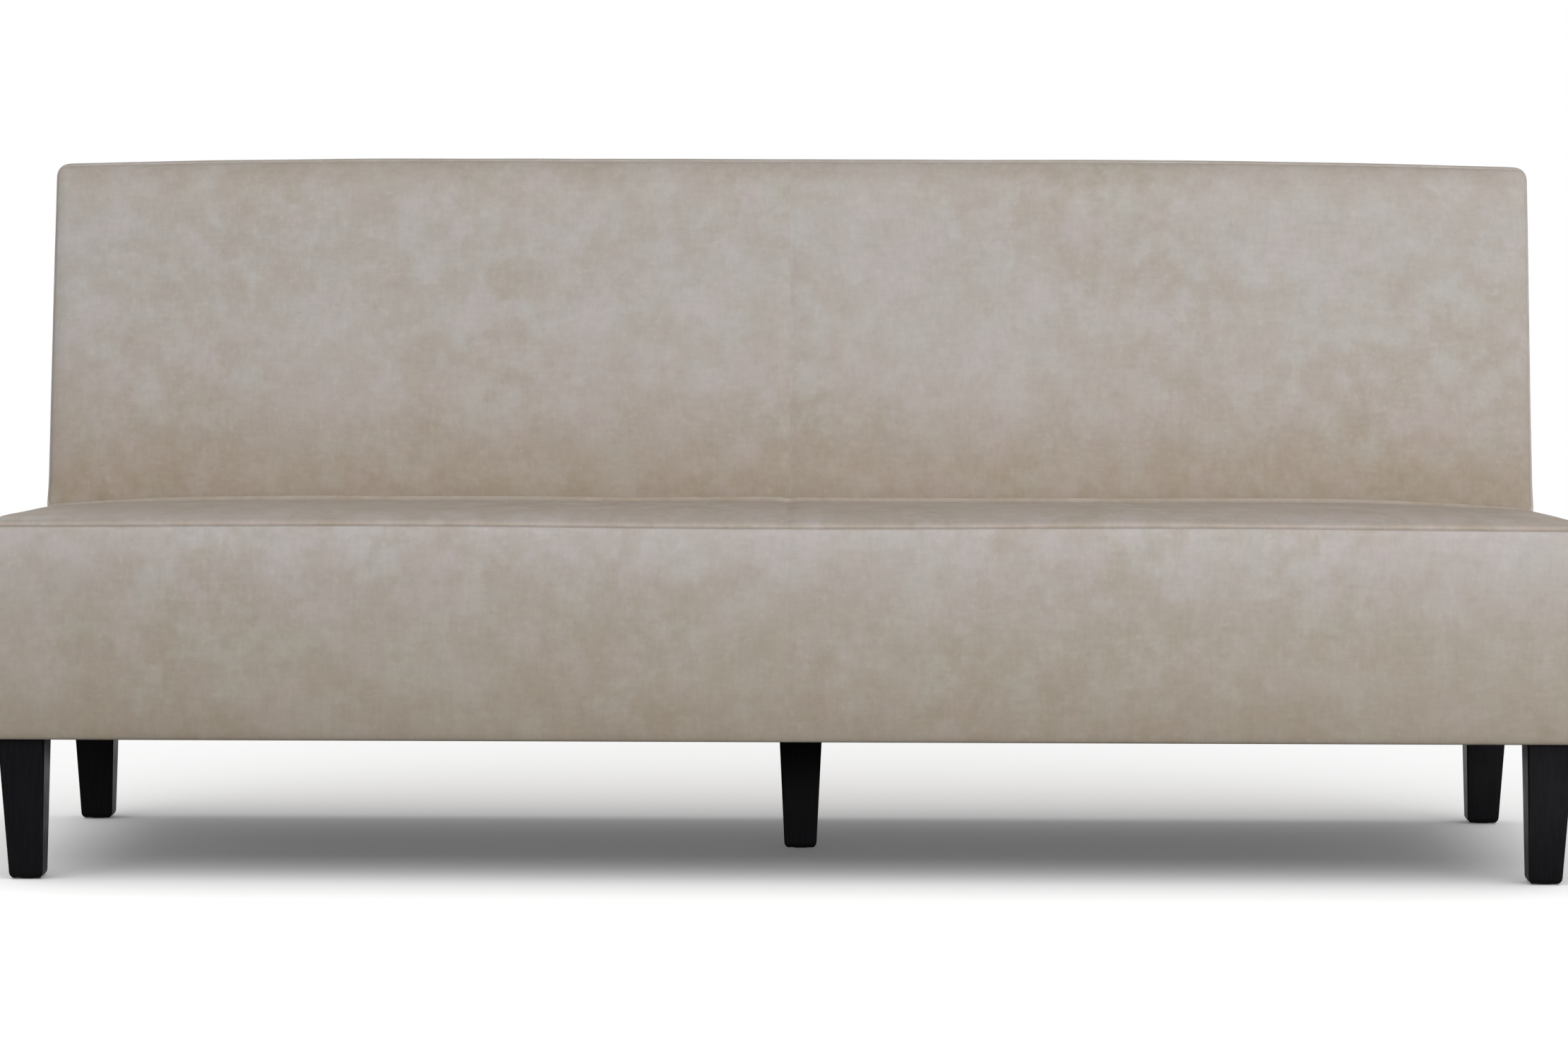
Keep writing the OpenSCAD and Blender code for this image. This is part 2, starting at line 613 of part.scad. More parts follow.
// The block's corner lies where the inner faces of two rails meet
module at_corner(side, rear) {
    translate([side * rail_in, rear ? rear_rail_front : front_rail_back, rail_foot])
        mirror([side > 0 ? 1 : 0, 0, 0]) mirror([0, rear ? 1 : 0, 0]) children();
}
module corner_screws(fit, reach) {
    level = block_h / 2;
    translate([block_leg - screw_tip_inset, 0, level]) rotate([-90, 0, 0]) screw(fit, reach);
    translate([0, block_leg - screw_tip_inset, level]) rotate([0, 90, 0]) screw(fit, reach);
}
post_screw_shares = [0.3, 0.7];
module post_screws(fit, reach) {
    for (s = post_screw_shares)
        translate([0, rear_rail_back - (screw_l - screw_bed), rail_top - s * post_lap]) rotate([-90, 0, 0])
            screw(fit, reach);
}
module all_screws(fit, reach) {
    for (side = [-1, 1]) for (rear = [false, true]) at_corner(side, rear) corner_screws(fit, reach);
    post_screws(fit, reach);
}
module block_screws() {
    color(steel) placed() all_screws(0, 0);
}

// Carriage bolts through the side rails and the end posts
post_bolt_d = 6;
post_bolt_head_d = 16;
post_bolt_crown_d = 11;
post_bolt_head_h = 3.5;
post_bolt_tail = 9;
post_nut_w = 10;
post_nut_h = 5;
post_bolt_shares = [0.2, 0.8];
module at_post_bolts() {
    for (s = post_bolt_shares)
        translate([frame_half, (post_front_y(rail_top) + rear_rail_front) / 2, rail_top - s * post_lap])
            rotate([0, -90, 0]) children();
}
module post_bolt_holes() {
    for (side = [0, 1]) mirror([side, 0, 0]) at_post_bolts() {
        translate([0, 0, -over]) cylinder(h = post_w + 2 * over, d = post_bolt_d + hole_fit);
        translate([0, 0, -over]) cylinder(h = post_bolt_head_h + over, d = post_bolt_head_d + hole_fit);
    }
}
module post_bolts() {
    color(steel) placed() for (side = [0, 1]) mirror([side, 0, 0]) at_post_bolts() {
        cylinder(h = post_bolt_head_h, d1 = post_bolt_crown_d, d2 = post_bolt_head_d);
        cylinder(h = post_w + post_bolt_tail, d = post_bolt_d);
        translate([0, 0, post_w]) cylinder(h = post_nut_h, d = post_nut_w / cos(30), $fn = 6);
    }
}

// Place of each leg's bolt, and the wood that its nut sits on
leg_places = [
    [-half_w + leg_side_inset, leg_front_inset, block_h],
    [half_w - leg_side_inset, leg_front_inset, block_h],
    [-half_w + leg_side_inset, box_depth - leg_rear_inset, block_h],
    [half_w - leg_side_inset, box_depth - leg_rear_inset, block_h],
    [centre_leg_x, centre_leg_depth, centre_rail_t]
];
nut_barrel_d = 10.5;
nut_barrel_h = 10;
nut_flange_d = 22;
nut_flange_h = 1.5;
module leg_bolt_holes() {
    for (p = leg_places) translate([p[0], p[1], rail_foot]) {
        translate([0, 0, -over]) cylinder(h = p[2] + 2 * over, d = bolt_d + over);
        translate([0, 0, p[2] - nut_barrel_h]) cylinder(h = nut_barrel_h + over, d = nut_barrel_d + hole_fit);
    }
}
module tee_nuts() {
    color(steel) placed() for (p = leg_places) translate([p[0], p[1], rail_foot + p[2]]) difference() {
        union() {
            cylinder(h = nut_flange_h, d = nut_flange_d);
            translate([0, 0, -nut_barrel_h]) cylinder(h = nut_barrel_h, d = nut_barrel_d);
        }
        translate([0, 0, -nut_barrel_h - over])
            cylinder(h = nut_barrel_h + nut_flange_h + 2 * over, d = bolt_d + hole_fit);
    }
}
module leg_bolts() {
    color(steel) placed() for (p = leg_places) translate([p[0], p[1], leg_height - bolt_in_leg])
        cylinder(h = bolt_in_leg + rail_foot - leg_height + p[2] + nut_flange_h, d = bolt_d);
}

module front_rail() {
    c = rail_chamfer;
    color(wood) placed() difference() {
        translate([0, frame_inset, rail_foot]) linear_extrude(rail_h)
            polygon([[-frame_half + c, 0], [frame_half - c, 0], [frame_half, c], [frame_half, rail_t],
                [-frame_half, rail_t], [-frame_half, c]]);
        seat_dowels(hole_fit);
        all_screws(hole_fit, 0);
    }
}
module rear_rail() {
    color(wood) placed() difference() {
        translate([-frame_half, rear_rail_front, rail_foot]) cube([2 * frame_half, rail_t, rail_h]);
        seat_dowels(hole_fit);
        all_screws(hole_fit, over);
    }
}
module side_rail(side) {
    color(wood) placed() difference() {
        translate([side > 0 ? rail_in : -frame_half, front_rail_back, rail_foot])
            cube([rail_t, rear_rail_front - front_rail_back, rail_h]);
        seat_dowels(hole_fit);
        all_screws(hole_fit, 0);
        post_bolt_holes();
    }
}
module left_side_rail() {
    side_rail(-1);
}
module right_side_rail() {
    side_rail(1);
}
module centre_rail() {
    color(wood) placed() difference() {
        translate([centre_leg_x - centre_rail_w / 2, front_rail_back, rail_foot])
            cube([centre_rail_w, rear_rail_front - front_rail_back, centre_rail_t]);
        seat_dowels(hole_fit);
        leg_bolt_holes();
    }
}
module corner_block(side, rear) {
    color(wood) placed() difference() {
        at_corner(side, rear) difference() {
            linear_extrude(block_h) polygon([
                [0, 0], [block_leg, 0], [block_leg, block_tip], [block_tip, block_leg], [0, block_leg]
            ]);
            corner_screws(hole_fit, block_leg);
        }
        leg_bolt_holes();
    }
}
module front_left_block() {
    corner_block(-1, false);
}
module front_right_block() {
    corner_block(1, false);
}
module rear_left_block() {
    corner_block(-1, true);
}
module rear_right_block() {
    corner_block(1, true);
}

// Back frame: posts sawn to the slope of the back, notched over the rails that they sit on
post_foot_z = rail_top - post_lap;
post_outline = [
    [post_front_y(rail_top), post_foot_z], [rear_rail_front, post_foot_z], [rear_rail_front, rail_top],
    [rear_rail_back, rail_top], [post_rear_low, seam_rear_z], [post_rear_high, frame_top],
    [post_front_high, frame_top], [post_front_low, seam_rear_z], [post_front_y(rail_top), rail_top]
];
module along_x(from, length) {
    translate([from, 0, 0]) rotate([90, 0, 90]) linear_extrude(length) children();
}
module end_post(side) {
    color(wood) placed() difference() {
        along_x(side > 0 ? post_in : -frame_half, post_w) polygon(post_outline);
        translate([side > 0 ? rail_in : -frame_half - over, front_rail_back, post_foot_z - over])
            cube([rail_t + over, rear_rail_back - front_rail_back, post_lap + over]);
        post_bolt_holes();
        back_dowels(hole_fit);
    }
}
module left_back_post() {
    end_post(-1);
}
module right_back_post() {
    end_post(1);
}
function lower_rail_outline() = let (foot = lower_rail_foot, head = foot + lower_rail_h) [
    [post_front_y(foot), foot], [post_front_y(foot) + lower_rail_t, foot],
    [post_front_y(head) + lower_rail_t, head], [post_front_y(head), head]
];
function top_rail_outline() = let (foot = frame_top - top_rail_h) [
    [post_front_y(foot), foot], [post_rear_y(foot), foot],
    [post_rear_high, frame_top], [post_front_high, frame_top]
];
module centre_back_post() {
    foot = lower_rail_foot;
    color(wood) placed() difference() {
        along_x(-post_w / 2, post_w) polygon(post_outline);
        along_x(-post_w, 2 * post_w) polygon([
            [post_front_y(foot) - lower_rail_t, foot], [post_front_y(foot) + lower_rail_t, foot],
            [post_front_y(foot + lower_rail_h) + lower_rail_t, foot + lower_rail_h],
            [post_front_y(foot + lower_rail_h) - lower_rail_t, foot + lower_rail_h]
        ]);
        translate([-post_w, 0, frame_top - top_rail_h]) cube([2 * post_w, 2 * box_depth, 2 * top_rail_h]);
        post_screws(hole_fit, 0);
    }
}
module back_top_rail() {
    color(wood) placed() difference() {
        along_x(-post_in, 2 * post_in) polygon(top_rail_outline());
        back_dowels(hole_fit);
    }
}
module back_lower_rail() {
    color(wood) placed() difference() {
        along_x(-post_in, 2 * post_in) polygon(lower_rail_outline());
        back_dowels(hole_fit);
    }
}

// Sinuous springs: one wire bent from side to side, arched from the front rail to the rear rail
spring_pitch = 2 * rail_in / spring_count;
spring_reach = spring_w / 2 - wire_d / 2 - bend_r(0);
function bar_y(i) = arch_centre[0] + arch_r * sin((2 * i / bend_count - 1) * arch_angle);
function bend_r(i) = (bar_y(i + 1) - bar_y(i)) / 2;
// Edge of the wire to the left of its run, at a distance h from its middle line
bend_turns = [-90:30:90];
function wire_edge(h) = concat([[-spring_reach - bend_r(0), bar_y(0) + h]],
    [for (i = [0:bend_count - 1]) for (a = bend_turns)
        let (right = i % 2 == 0 ? 1 : -1, r = bend_r(i) - right * h)
        [right * (spring_reach + r * cos(a)), bar_y(i) + bend_r(i) + r * sin(a)]],
    [[spring_reach + bend_r(0), bar_y(bend_count) + h]]);
module sinuous_spring(x) {
    color(steel) placed() translate([x, 0, 0]) intersection() {
        translate([0, 0, wire_z - wire_d])
            linear_extrude(spring_rise + 2 * wire_d)
                polygon(concat(wire_edge(wire_d / 2), rev(wire_edge(-wire_d / 2))));
        translate([0, arch_centre[0], arch_centre[1]]) rotate([0, 90, 0]) difference() {
            cylinder(h = 2 * spring_w, r = arch_r + wire_d / 2, center = true, $fn = 360);
            cylinder(h = 3 * spring_w, r = arch_r - wire_d / 2, center = true, $fn = 360);
        }
    }
}
function spring_x(i) = -rail_in + (i - 1 / 2) * spring_pitch;
clip_turns = [-90:20:170];
module spring_clips() {
    bore = clip_bore;
    plate = rail_t / 2 - clip_t;
    ring = function (r, a) r * [cos(a), sin(a)] + [0, bore + clip_t];
    hook = concat([[-plate, 0]], [for (a = clip_turns) ring(bore + clip_t, a)],
        [for (a = rev([for (t = clip_turns) t])) ring(bore, a)], [[-plate, clip_t]]);
    color(steel) placed() for (i = [1:spring_count]) for (end = [[spring_front, 0], [spring_rear, 1]])
        translate([spring_x(i) - clip_w / 2, end[0], rail_top]) mirror([0, end[1], 0])
            rotate([90, 0, 90]) linear_extrude(clip_w) polygon(hook);
}
// Wires along the sofa, tied down on the same bar of every spring
tie_gap = 0.1;
tie_bars = [bend_count / 3, 2 * bend_count / 3];
module tie_wires() {
    level = arch_r + wire_d / 2 + tie_gap + tie_d / 2;
    run = 2 * rail_in - spring_pitch + spring_w;
    color(steel) placed() for (i = tie_bars)
        let (a = (2 * round(i) / bend_count - 1) * arch_angle)
        translate([0, arch_centre[0] + level * sin(a), arch_centre[1] + level * cos(a)])
            rotate([0, 90, 0]) cylinder(h = run, d = tie_d, center = true);
}

// Webbing on the front of the back frame, each strap over one and under the next
strap_lap = 3;
webbing_length = (frame_top - lower_rail_foot) / cos(post_slope);
upright_pitch = 2 * post_in / upright_straps;
level_run = webbing_length - (top_rail_h + lower_rail_h) / cos(post_slope);
function upright_x(i) = -post_in + (i + 1 / 2) * upright_pitch;
function level_s(j) = lower_rail_h / cos(post_slope) + (j + 1 / 2) * level_run / level_straps;
function woven(from, to, crossings, odd) =
    let (flat = strap_w / 2 + strap_lap, raised = strap_t + weave_gap)
    concat([[from, 0]],
        [for (k = [0:len(crossings) - 1]) let (n = (k + odd) % 2 == 1 ? raised : 0) each
            [[crossings[k] - flat, n], [crossings[k] + flat, n]]],
        [[to, 0]]);
function thick(path) = concat(path, [for (p = rev(path)) [p[0], p[1] + strap_t]]);
module back_webbing() {
    uprights = [for (i = [0:upright_straps - 1]) upright_x(i)];
    levels = [for (j = [0:level_straps - 1]) level_s(j)];
    end = post_w - strap_lap;
    color([0.2, 0.2, 0.22]) placed() translate([0, post_front_y(lower_rail_foot), lower_rail_foot])
        rotate([-post_slope, 0, 0]) {
            for (i = [0:upright_straps - 1])
                along_x(uprights[i] - strap_w / 2, strap_w) polygon([
                    for (p = thick(woven(strap_lap, webbing_length - strap_lap, levels, i))) [-p[1], p[0]]
                ]);
            for (j = [0:level_straps - 1])
                translate([0, 0, levels[j] - strap_w / 2]) linear_extrude(strap_w) polygon([
                    for (p = thick(woven(-post_in - end, post_in + end, uprights, j + 1))) [p[0], -p[1]]
                ]);
        }
}

// Legs: square, tapered on all four faces, the outer faces of a corner leg more than the inner
leg_taper = leg_top_w - leg_foot_w;
outer_share = 0.7;
glide_h = 5;
foot_turns = [0:15:90];
// Side view of a leg about the middle of its foot, with the outer face at -X
function leg_outline(share) =
    let (half = leg_foot_w / 2, out = half + share * leg_taper, in = half + (1 - share) * leg_taper)
    concat([[-out, leg_height]],
        [for (a = foot_turns) [-half + foot_r - foot_r * cos(a), glide_proud + foot_r - foot_r * sin(a)]],
        [for (a = rev([for (t = foot_turns) t]))
            [half - foot_r + foot_r * cos(a), glide_proud + foot_r - foot_r * sin(a)]],
        [[in, leg_height]]);
module leg_body(x_share, y_share) {
    difference() {
        intersection() {
            translate([0, leg_top_w, 0]) rotate([90, 0, 0]) linear_extrude(2 * leg_top_w)
                polygon(leg_outline(x_share));
            along_x(-leg_top_w, 2 * leg_top_w) polygon(leg_outline(y_share));
        }
        translate([0, 0, leg_height - bolt_in_leg - over])
            cylinder(h = bolt_in_leg + 2 * over, d = bolt_d + hole_fit);
        translate([0, 0, glide_proud - over])
            cylinder(h = glide_h - glide_proud + over, d = glide_d + hole_fit);
    }
}
module leg(i, mirrored, x_share, y_share) {
    color([0.07, 0.07, 0.08]) placed() translate([leg_places[i][0], leg_places[i][1], 0])
        mirror([mirrored[0], 0, 0]) mirror([0, mirrored[1], 0]) leg_body(x_share, y_share);
}
module front_left_leg() {
    leg(0, [0, 0], outer_share, outer_share);
}
module front_right_leg() {
    leg(1, [1, 0], outer_share, outer_share);
}
module rear_left_leg() {
    leg(2, [0, 1], outer_share, outer_share);
}
module rear_right_leg() {
    leg(3, [1, 1], outer_share, outer_share);
}
module centre_leg() {
    leg(4, [0, 0], 1 / 2, 1 / 2);
}
module leg_glides() {
    color([0.25, 0.25, 0.26]) placed() for (p = leg_places)
        translate([p[0], p[1], 0]) cylinder(h = glide_h, d = glide_d);
}

front_rail();
rear_rail();
left_side_rail();
right_side_rail();
centre_rail();
front_left_block();
front_right_block();
rear_left_block();
rear_right_block();
left_back_post();
right_back_post();
centre_back_post();
back_top_rail();
back_lower_rail();
frame_dowels();
block_screws();
post_bolts();
for (i = [1:spring_count])
    sinuous_spring(spring_x(i));
spring_clips();
tie_wires();
back_webbing();
spring_pad();
seat_foam();
seat_wadding();
front_border_wadding();
side_border_wadding();
back_foam();
back_wadding();
back_edge_wadding();
seat_top_cover();
front_border_cover();
left_border_cover();
right_border_cover();
inside_back_cover();
back_boxing();
outside_back_cover();
dust_cover();
front_left_leg();
front_right_leg();
rear_left_leg();
rear_right_leg();
centre_leg();
leg_bolts();
tee_nuts();
leg_glides();
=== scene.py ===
import math

import bmesh
import bpy
from mathutils import Matrix, Vector, noise


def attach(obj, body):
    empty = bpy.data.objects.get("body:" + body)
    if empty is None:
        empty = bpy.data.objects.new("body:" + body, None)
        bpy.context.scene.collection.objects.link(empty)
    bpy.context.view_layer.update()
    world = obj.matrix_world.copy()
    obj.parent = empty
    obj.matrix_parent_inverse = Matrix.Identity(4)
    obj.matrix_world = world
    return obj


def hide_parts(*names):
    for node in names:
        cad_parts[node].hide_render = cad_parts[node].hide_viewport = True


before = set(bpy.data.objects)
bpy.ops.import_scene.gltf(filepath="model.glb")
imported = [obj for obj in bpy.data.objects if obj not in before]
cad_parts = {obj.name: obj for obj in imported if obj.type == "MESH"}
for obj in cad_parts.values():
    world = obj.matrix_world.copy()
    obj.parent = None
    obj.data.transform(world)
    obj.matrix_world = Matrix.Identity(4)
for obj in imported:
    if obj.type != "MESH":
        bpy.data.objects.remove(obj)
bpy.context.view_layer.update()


# Camera: a long lens 6.5 m in front, at sitting eye height and a little right of the middle.
# It looks down by less than 4 degrees, so the seat shows as a narrow band under the back,
# and the ends of the seat box just leave the picture on both sides.
front_y = -0.387022
camera_place = (0.062, front_y - 6.5, 0.8895)
image_width = 2220
focal_pixels = 7246
camera_yaw = 0.0098
camera_pitch = 0.0654
camera_roll = 0.0026
camera_data = bpy.data.cameras.new("sofa_camera")
camera_data.sensor_fit = "HORIZONTAL"
camera_data.sensor_width = 36
camera_data.lens = focal_pixels * camera_data.sensor_width / image_width
camera_data.clip_end = 100
camera = bpy.data.objects.new("sofa_camera", camera_data)
level_right = Vector((math.cos(camera_yaw), math.sin(camera_yaw), 0))
level_ahead = Vector((-math.sin(camera_yaw), math.cos(camera_yaw), 0))
up = Vector((0, 0, 1))
ahead = level_ahead * math.cos(camera_pitch) - up * math.sin(camera_pitch)
tilted_up = up * math.cos(camera_pitch) + level_ahead * math.sin(camera_pitch)
right = level_right * math.cos(camera_roll) + tilted_up * math.sin(camera_roll)
top = tilted_up * math.cos(camera_roll) - level_right * math.sin(camera_roll)
turned = Matrix((right, top, -ahead)).transposed().to_4x4()
camera.matrix_world = Matrix.Translation(camera_place) @ turned
bpy.context.scene.collection.objects.link(camera)
bpy.context.scene.camera = camera


# Tight seat: one foam slab over the springs, under wadding and a cover sewn from two panels.
# The cover rolls down to a plain seam at the front and sides, and dives into the crevice.
# The seam between the two panels runs front to back and lies a little lower than the crown.
seat_half = 1.0235
seat_front = 0.010
seat_rear = 0.548
seat_foot_z = 0.412
front_seam_z = 0.457
side_fall = 0.0145
fall_curve = 1.4
seam_lift = 0.0025
edge_roll = 0.0055
edge_run = 0.015
side_run = 0.008
seat_crown = 0.010
crown_run = 0.33
front_crown_run = 0.15
seam_groove = 0.0011
lip_height = 0.0058
lip_run = 0.016
lip_place = 0.9
lip_share = 0.40
seam_dip = 0.0016
seam_run = 0.014
seat_corner_x = 0.018
seat_corner_y = 0.012
seat_wave = 0.19
packing = 0.0012
sewn_width = 0.001
seam_allowance = 0.006
foam_inset = 0.012
weld = 0.00001
cover_pressure = 1.5
cover_swell = 0.004
settling_frames = 20


def rolled(t):
    """Height share of a rolled edge, from its seam at 0 to the flat at 1."""
    t = min(1, max(0, t))
    return math.sqrt(1 - (1 - t) ** 2)


def eased(t):
    """Share that rises fast from 0 and levels off at 1."""
    t = min(1, max(0, t))
    return t * (2 - t)


def hump(t):
    """Smooth bump, 1 in its middle and 0 from 1 away."""
    return (1 - t * t) ** 2 if abs(t) < 1 else 0


def fine_at_seams(t, crowding):
    """Spreads even stations so that they crowd at both ends and in the middle."""
    return t - crowding * math.sin(2 * math.pi * t) / (2 * math.pi)


def fine_at_ends(t, crowding):
    """Spreads even stations so that they crowd at both ends."""
    return t + crowding * math.sin(math.pi * t) / math.pi


def uneven(x, y, z, size, depth):
    """Slow unevenness of hand-packed padding, the same on each run."""
    return depth * noise.noise(Vector((x / size + 3.1, y / size + 7.7, z / size + 1.3)))


def seat_seam_z(x, y):
    """Height of the seam round the seat, which lifts between its ends and falls to the rear."""
    back_share = min(1, max(0, (y - seat_front) / (seat_rear - seat_front)))
    wave = math.sin(math.pi * min(1, abs(x) / seat_half)) ** 2
    fall = side_fall * back_share ** fall_curve
    return front_seam_z - fall + seam_lift * (1 - back_share) * wave


def seat_z(x, y):
    """Height of the cover: rolled edges, a crown, and a lip in front of the crevice."""
    side = seat_half - abs(x)
    front = y - seat_front
    rear = seat_rear - y
    edge = rolled(side / side_run) * rolled(front / edge_run) * rolled(rear / edge_run)
    inwards = eased(side / crown_run)
    crown = seat_crown * inwards * eased(front / front_crown_run)
    lip = lip_height * (lip_share + (1 - lip_share) * inwards) * hump(rear / lip_run - lip_place)
    lip -= seam_dip * hump(x / seam_run)
    swell = edge_roll + crown + lip + uneven(x, y, 0, seat_wave, packing)
    return seat_seam_z(x, y) + seam_groove + edge * swell


def round_corner(x, y):
    """Draws the seat's front corners in to the curve of the border below them."""
    u = (abs(x) - seat_half + seat_corner_x) / seat_corner_x
    v = (seat_front + seat_corner_y - y) / seat_corner_y
    if u <= 0 or v <= 0:
        return x, y
    round_u = u * math.sqrt(1 - v * v / 2)
    round_v = v * math.sqrt(1 - u * u / 2)
    across = seat_half - seat_corner_x + seat_corner_x * round_u
    return math.copysign(across, x), seat_front + seat_corner_y * (1 - round_v)


def new_piece(name, source):
    """A finished bmesh becomes a smooth-shaded object at the origin."""
    mesh = bpy.data.meshes.new(name)
    source.to_mesh(mesh)
    source.free()
    for polygon in mesh.polygons:
        polygon.use_smooth = True
    piece = bpy.data.objects.new(name, mesh)
    bpy.context.scene.collection.objects.link(piece)
    return piece


def walled(source, steps):
    """Carries a panel's open edge through steps, each a move of its points, and closes it."""
    edges = [edge for edge in source.edges if edge.is_boundary]
    for step in steps:
        grown = bmesh.ops.extrude_edge_only(source, edges=edges)["geom"]
        ring = [g for g in grown if isinstance(g, bmesh.types.BMVert)]
        for point in ring:
            point.co = step(point.co)
        edges = [g for g in grown if isinstance(g, bmesh.types.BMEdge) and g.is_boundary]
    bmesh.ops.remove_doubles(source, verts=ring, dist=weld)
    bmesh.ops.recalc_face_normals(source, faces=source.faces)


def seat_wall(inset, level):
    """Next ring of the seat's wall: drawn in, and set at a level or turned under the seam."""
    def step(co):
        x = math.copysign(min(abs(co.x), seat_half - inset), co.x)
        y = min(seat_rear, max(seat_front + inset, co.y - front_y))
        return Vector((x, front_y + y, level if level else co.z - inset / 2))
    return step


def seat_fold(co):
    """Closes the foam's underside in a fold along its middle."""
    return Vector((co.x, front_y + (seat_front + seat_rear) / 2, co.z))


def puffed(piece, free):
    """Draws a cover tight over its padding by cloth simulation: only its free points swell."""
    sewn = [point.index for point in piece.data.vertices if point.index not in free]
    piece.vertex_groups.new(name="sewn").add(sewn, 1, "REPLACE")
    cloth = piece.modifiers.new("cover", "CLOTH")
    cloth.settings.quality = 4
    cloth.settings.mass = 0.4
    cloth.settings.tension_stiffness = 25
    cloth.settings.compression_stiffness = 25
    cloth.settings.shear_stiffness = 8
    cloth.settings.bending_stiffness = 2
    cloth.settings.air_damping = 4
    cloth.settings.vertex_group_mass = "sewn"
    cloth.settings.use_pressure = True
    cloth.settings.uniform_pressure_force = cover_pressure
    cloth.settings.effector_weights.gravity = 0
    cloth.collision_settings.use_collision = False
    cloth.point_cache.frame_start = 1
    cloth.point_cache.frame_end = settling_frames
    for number in range(1, settling_frames + 1):
        bpy.context.scene.frame_set(number)
    swollen = piece.evaluated_get(bpy.context.evaluated_depsgraph_get())
    moved = [point.co.copy() for point in swollen.data.vertices]
    piece.modifiers.remove(cloth)
    piece.vertex_groups.clear()
    for point, place in zip(piece.data.vertices, moved):
        step = place - point.co
        if step.length > cover_swell:
            step *= cover_swell / step.length
        point.co += step
    bpy.context.scene.frame_set(1)


def finer(piece):
    """One level of smooth subdivision, the same in the view and in the render."""
    surface = piece.modifiers.new("smooth_cover", "SUBSURF")
    surface.levels = 1
    surface.render_levels = 1


seat = bmesh.new()
bmesh.ops.create_grid(seat, x_segments=200, y_segments=60, size=1)
for point in seat.verts:
    x = seat_half * fine_at_seams(point.co.x, crowding=0.8)
    back_share = (fine_at_ends(point.co.y, crowding=0.75) + 1) / 2
    y = seat_front + (seat_rear - seat_front) * back_share
    round_x, round_y = round_corner(x, y)
    point.co = Vector((round_x, front_y + round_y, seat_z(x, y)))
seat.verts.index_update()
seat_free = {
    point.index for point in seat.verts
    if abs(point.co.x) > sewn_width and not point.is_boundary
}
walled(seat, [seat_wall(seam_allowance, 0), seat_wall(foam_inset, seat_foot_z), seat_fold])
seat_cushion = new_piece("seat_cushion", seat)
puffed(seat_cushion, seat_free)
finer(seat_cushion)


def shader(name, base, roughness):
    """New material of one colour and roughness, with its nodes and its main shader."""
    material = bpy.data.materials.new(name)
    material.use_nodes = True
    tree = material.node_tree
    surface = tree.nodes["Principled BSDF"]
    surface.inputs["Base Color"].default_value = (*base, 1)
    surface.inputs["Roughness"].default_value = roughness
    return material, tree, surface


def feed(tree, node, values):
    """Gives a node's inputs numbers, colours or other nodes' outputs."""
    for key, value in values.items():
        if isinstance(value, bpy.types.NodeSocket):
            tree.links.new(value, node.inputs[key])
        else:
            node.inputs[key].default_value = value


def add(tree, kind, values=(), **settings):
    """A new node with its settings and its inputs."""
    made = tree.nodes.new("ShaderNode" + kind)
    for key, value in settings.items():
        setattr(made, key, value)
    feed(tree, made, dict(values))
    return made


def on_object(tree):
    """The place of each point on its piece, in metres."""
    return add(tree, "TexCoord").outputs["Object"]


def maths(tree, operation, first, second):
    return add(tree, "Math", {0: first, 1: second}, operation=operation).outputs[0]


def ranged(tree, value, low=0, high=1, to_low=0, to_high=1):
    """Carries a value from one range to another, and holds it at the ends."""
    ends = {"From Min": low, "From Max": high, "To Min": to_low, "To Max": to_high}
    return add(tree, "MapRange", {"Value": value, **ends}).outputs[0]


def patches(tree, place, scale, detail, low, high, stretch=(1, 1, 1)):
    """Noise of a given scale, from 0 below low to 1 above high."""
    spread = add(tree, "Mapping", {"Vector": place, "Scale": stretch}).outputs[0]
    noisy = {"Vector": spread, "Scale": scale, "Detail": detail, "Roughness": 0.6}
    return ranged(tree, add(tree, "TexNoise", noisy).outputs[0], low, high)


def mixed(tree, share, first, second, blend="MIX"):
    """Two colours mixed by a share; each is a colour or another node's output."""
    factor, colour_a, colour_b = 0, 6, 7
    mix = add(tree, "Mix", data_type="RGBA", blend_type=blend)
    feed(tree, mix, {factor: share, colour_a: first, colour_b: second})
    return mix.outputs[2]


def ramp(tree, share, stops):
    """Colour by a share, through stops of position and colour."""
    made = add(tree, "ValToRGB", {"Fac": share})
    row = made.color_ramp.elements
    while len(row) < len(stops):
        row.new(1)
    for element, (position, tone) in zip(row, stops):
        element.position = position
        element.color = (*tone, 1)
    return made.outputs[0]


def bumped(tree, height, strength, distance, under=None):
    """A fine relief by height, on top of another one or of the plain surface."""
    relief = {"Height": height, "Strength": strength, "Distance": distance}
    if under:
        relief["Normal"] = under
    return add(tree, "Bump", relief).outputs[0]


no_painted_shading = ((0, (1, 1, 1)), (1, (1, 1, 1)))
second_cut = 3.7


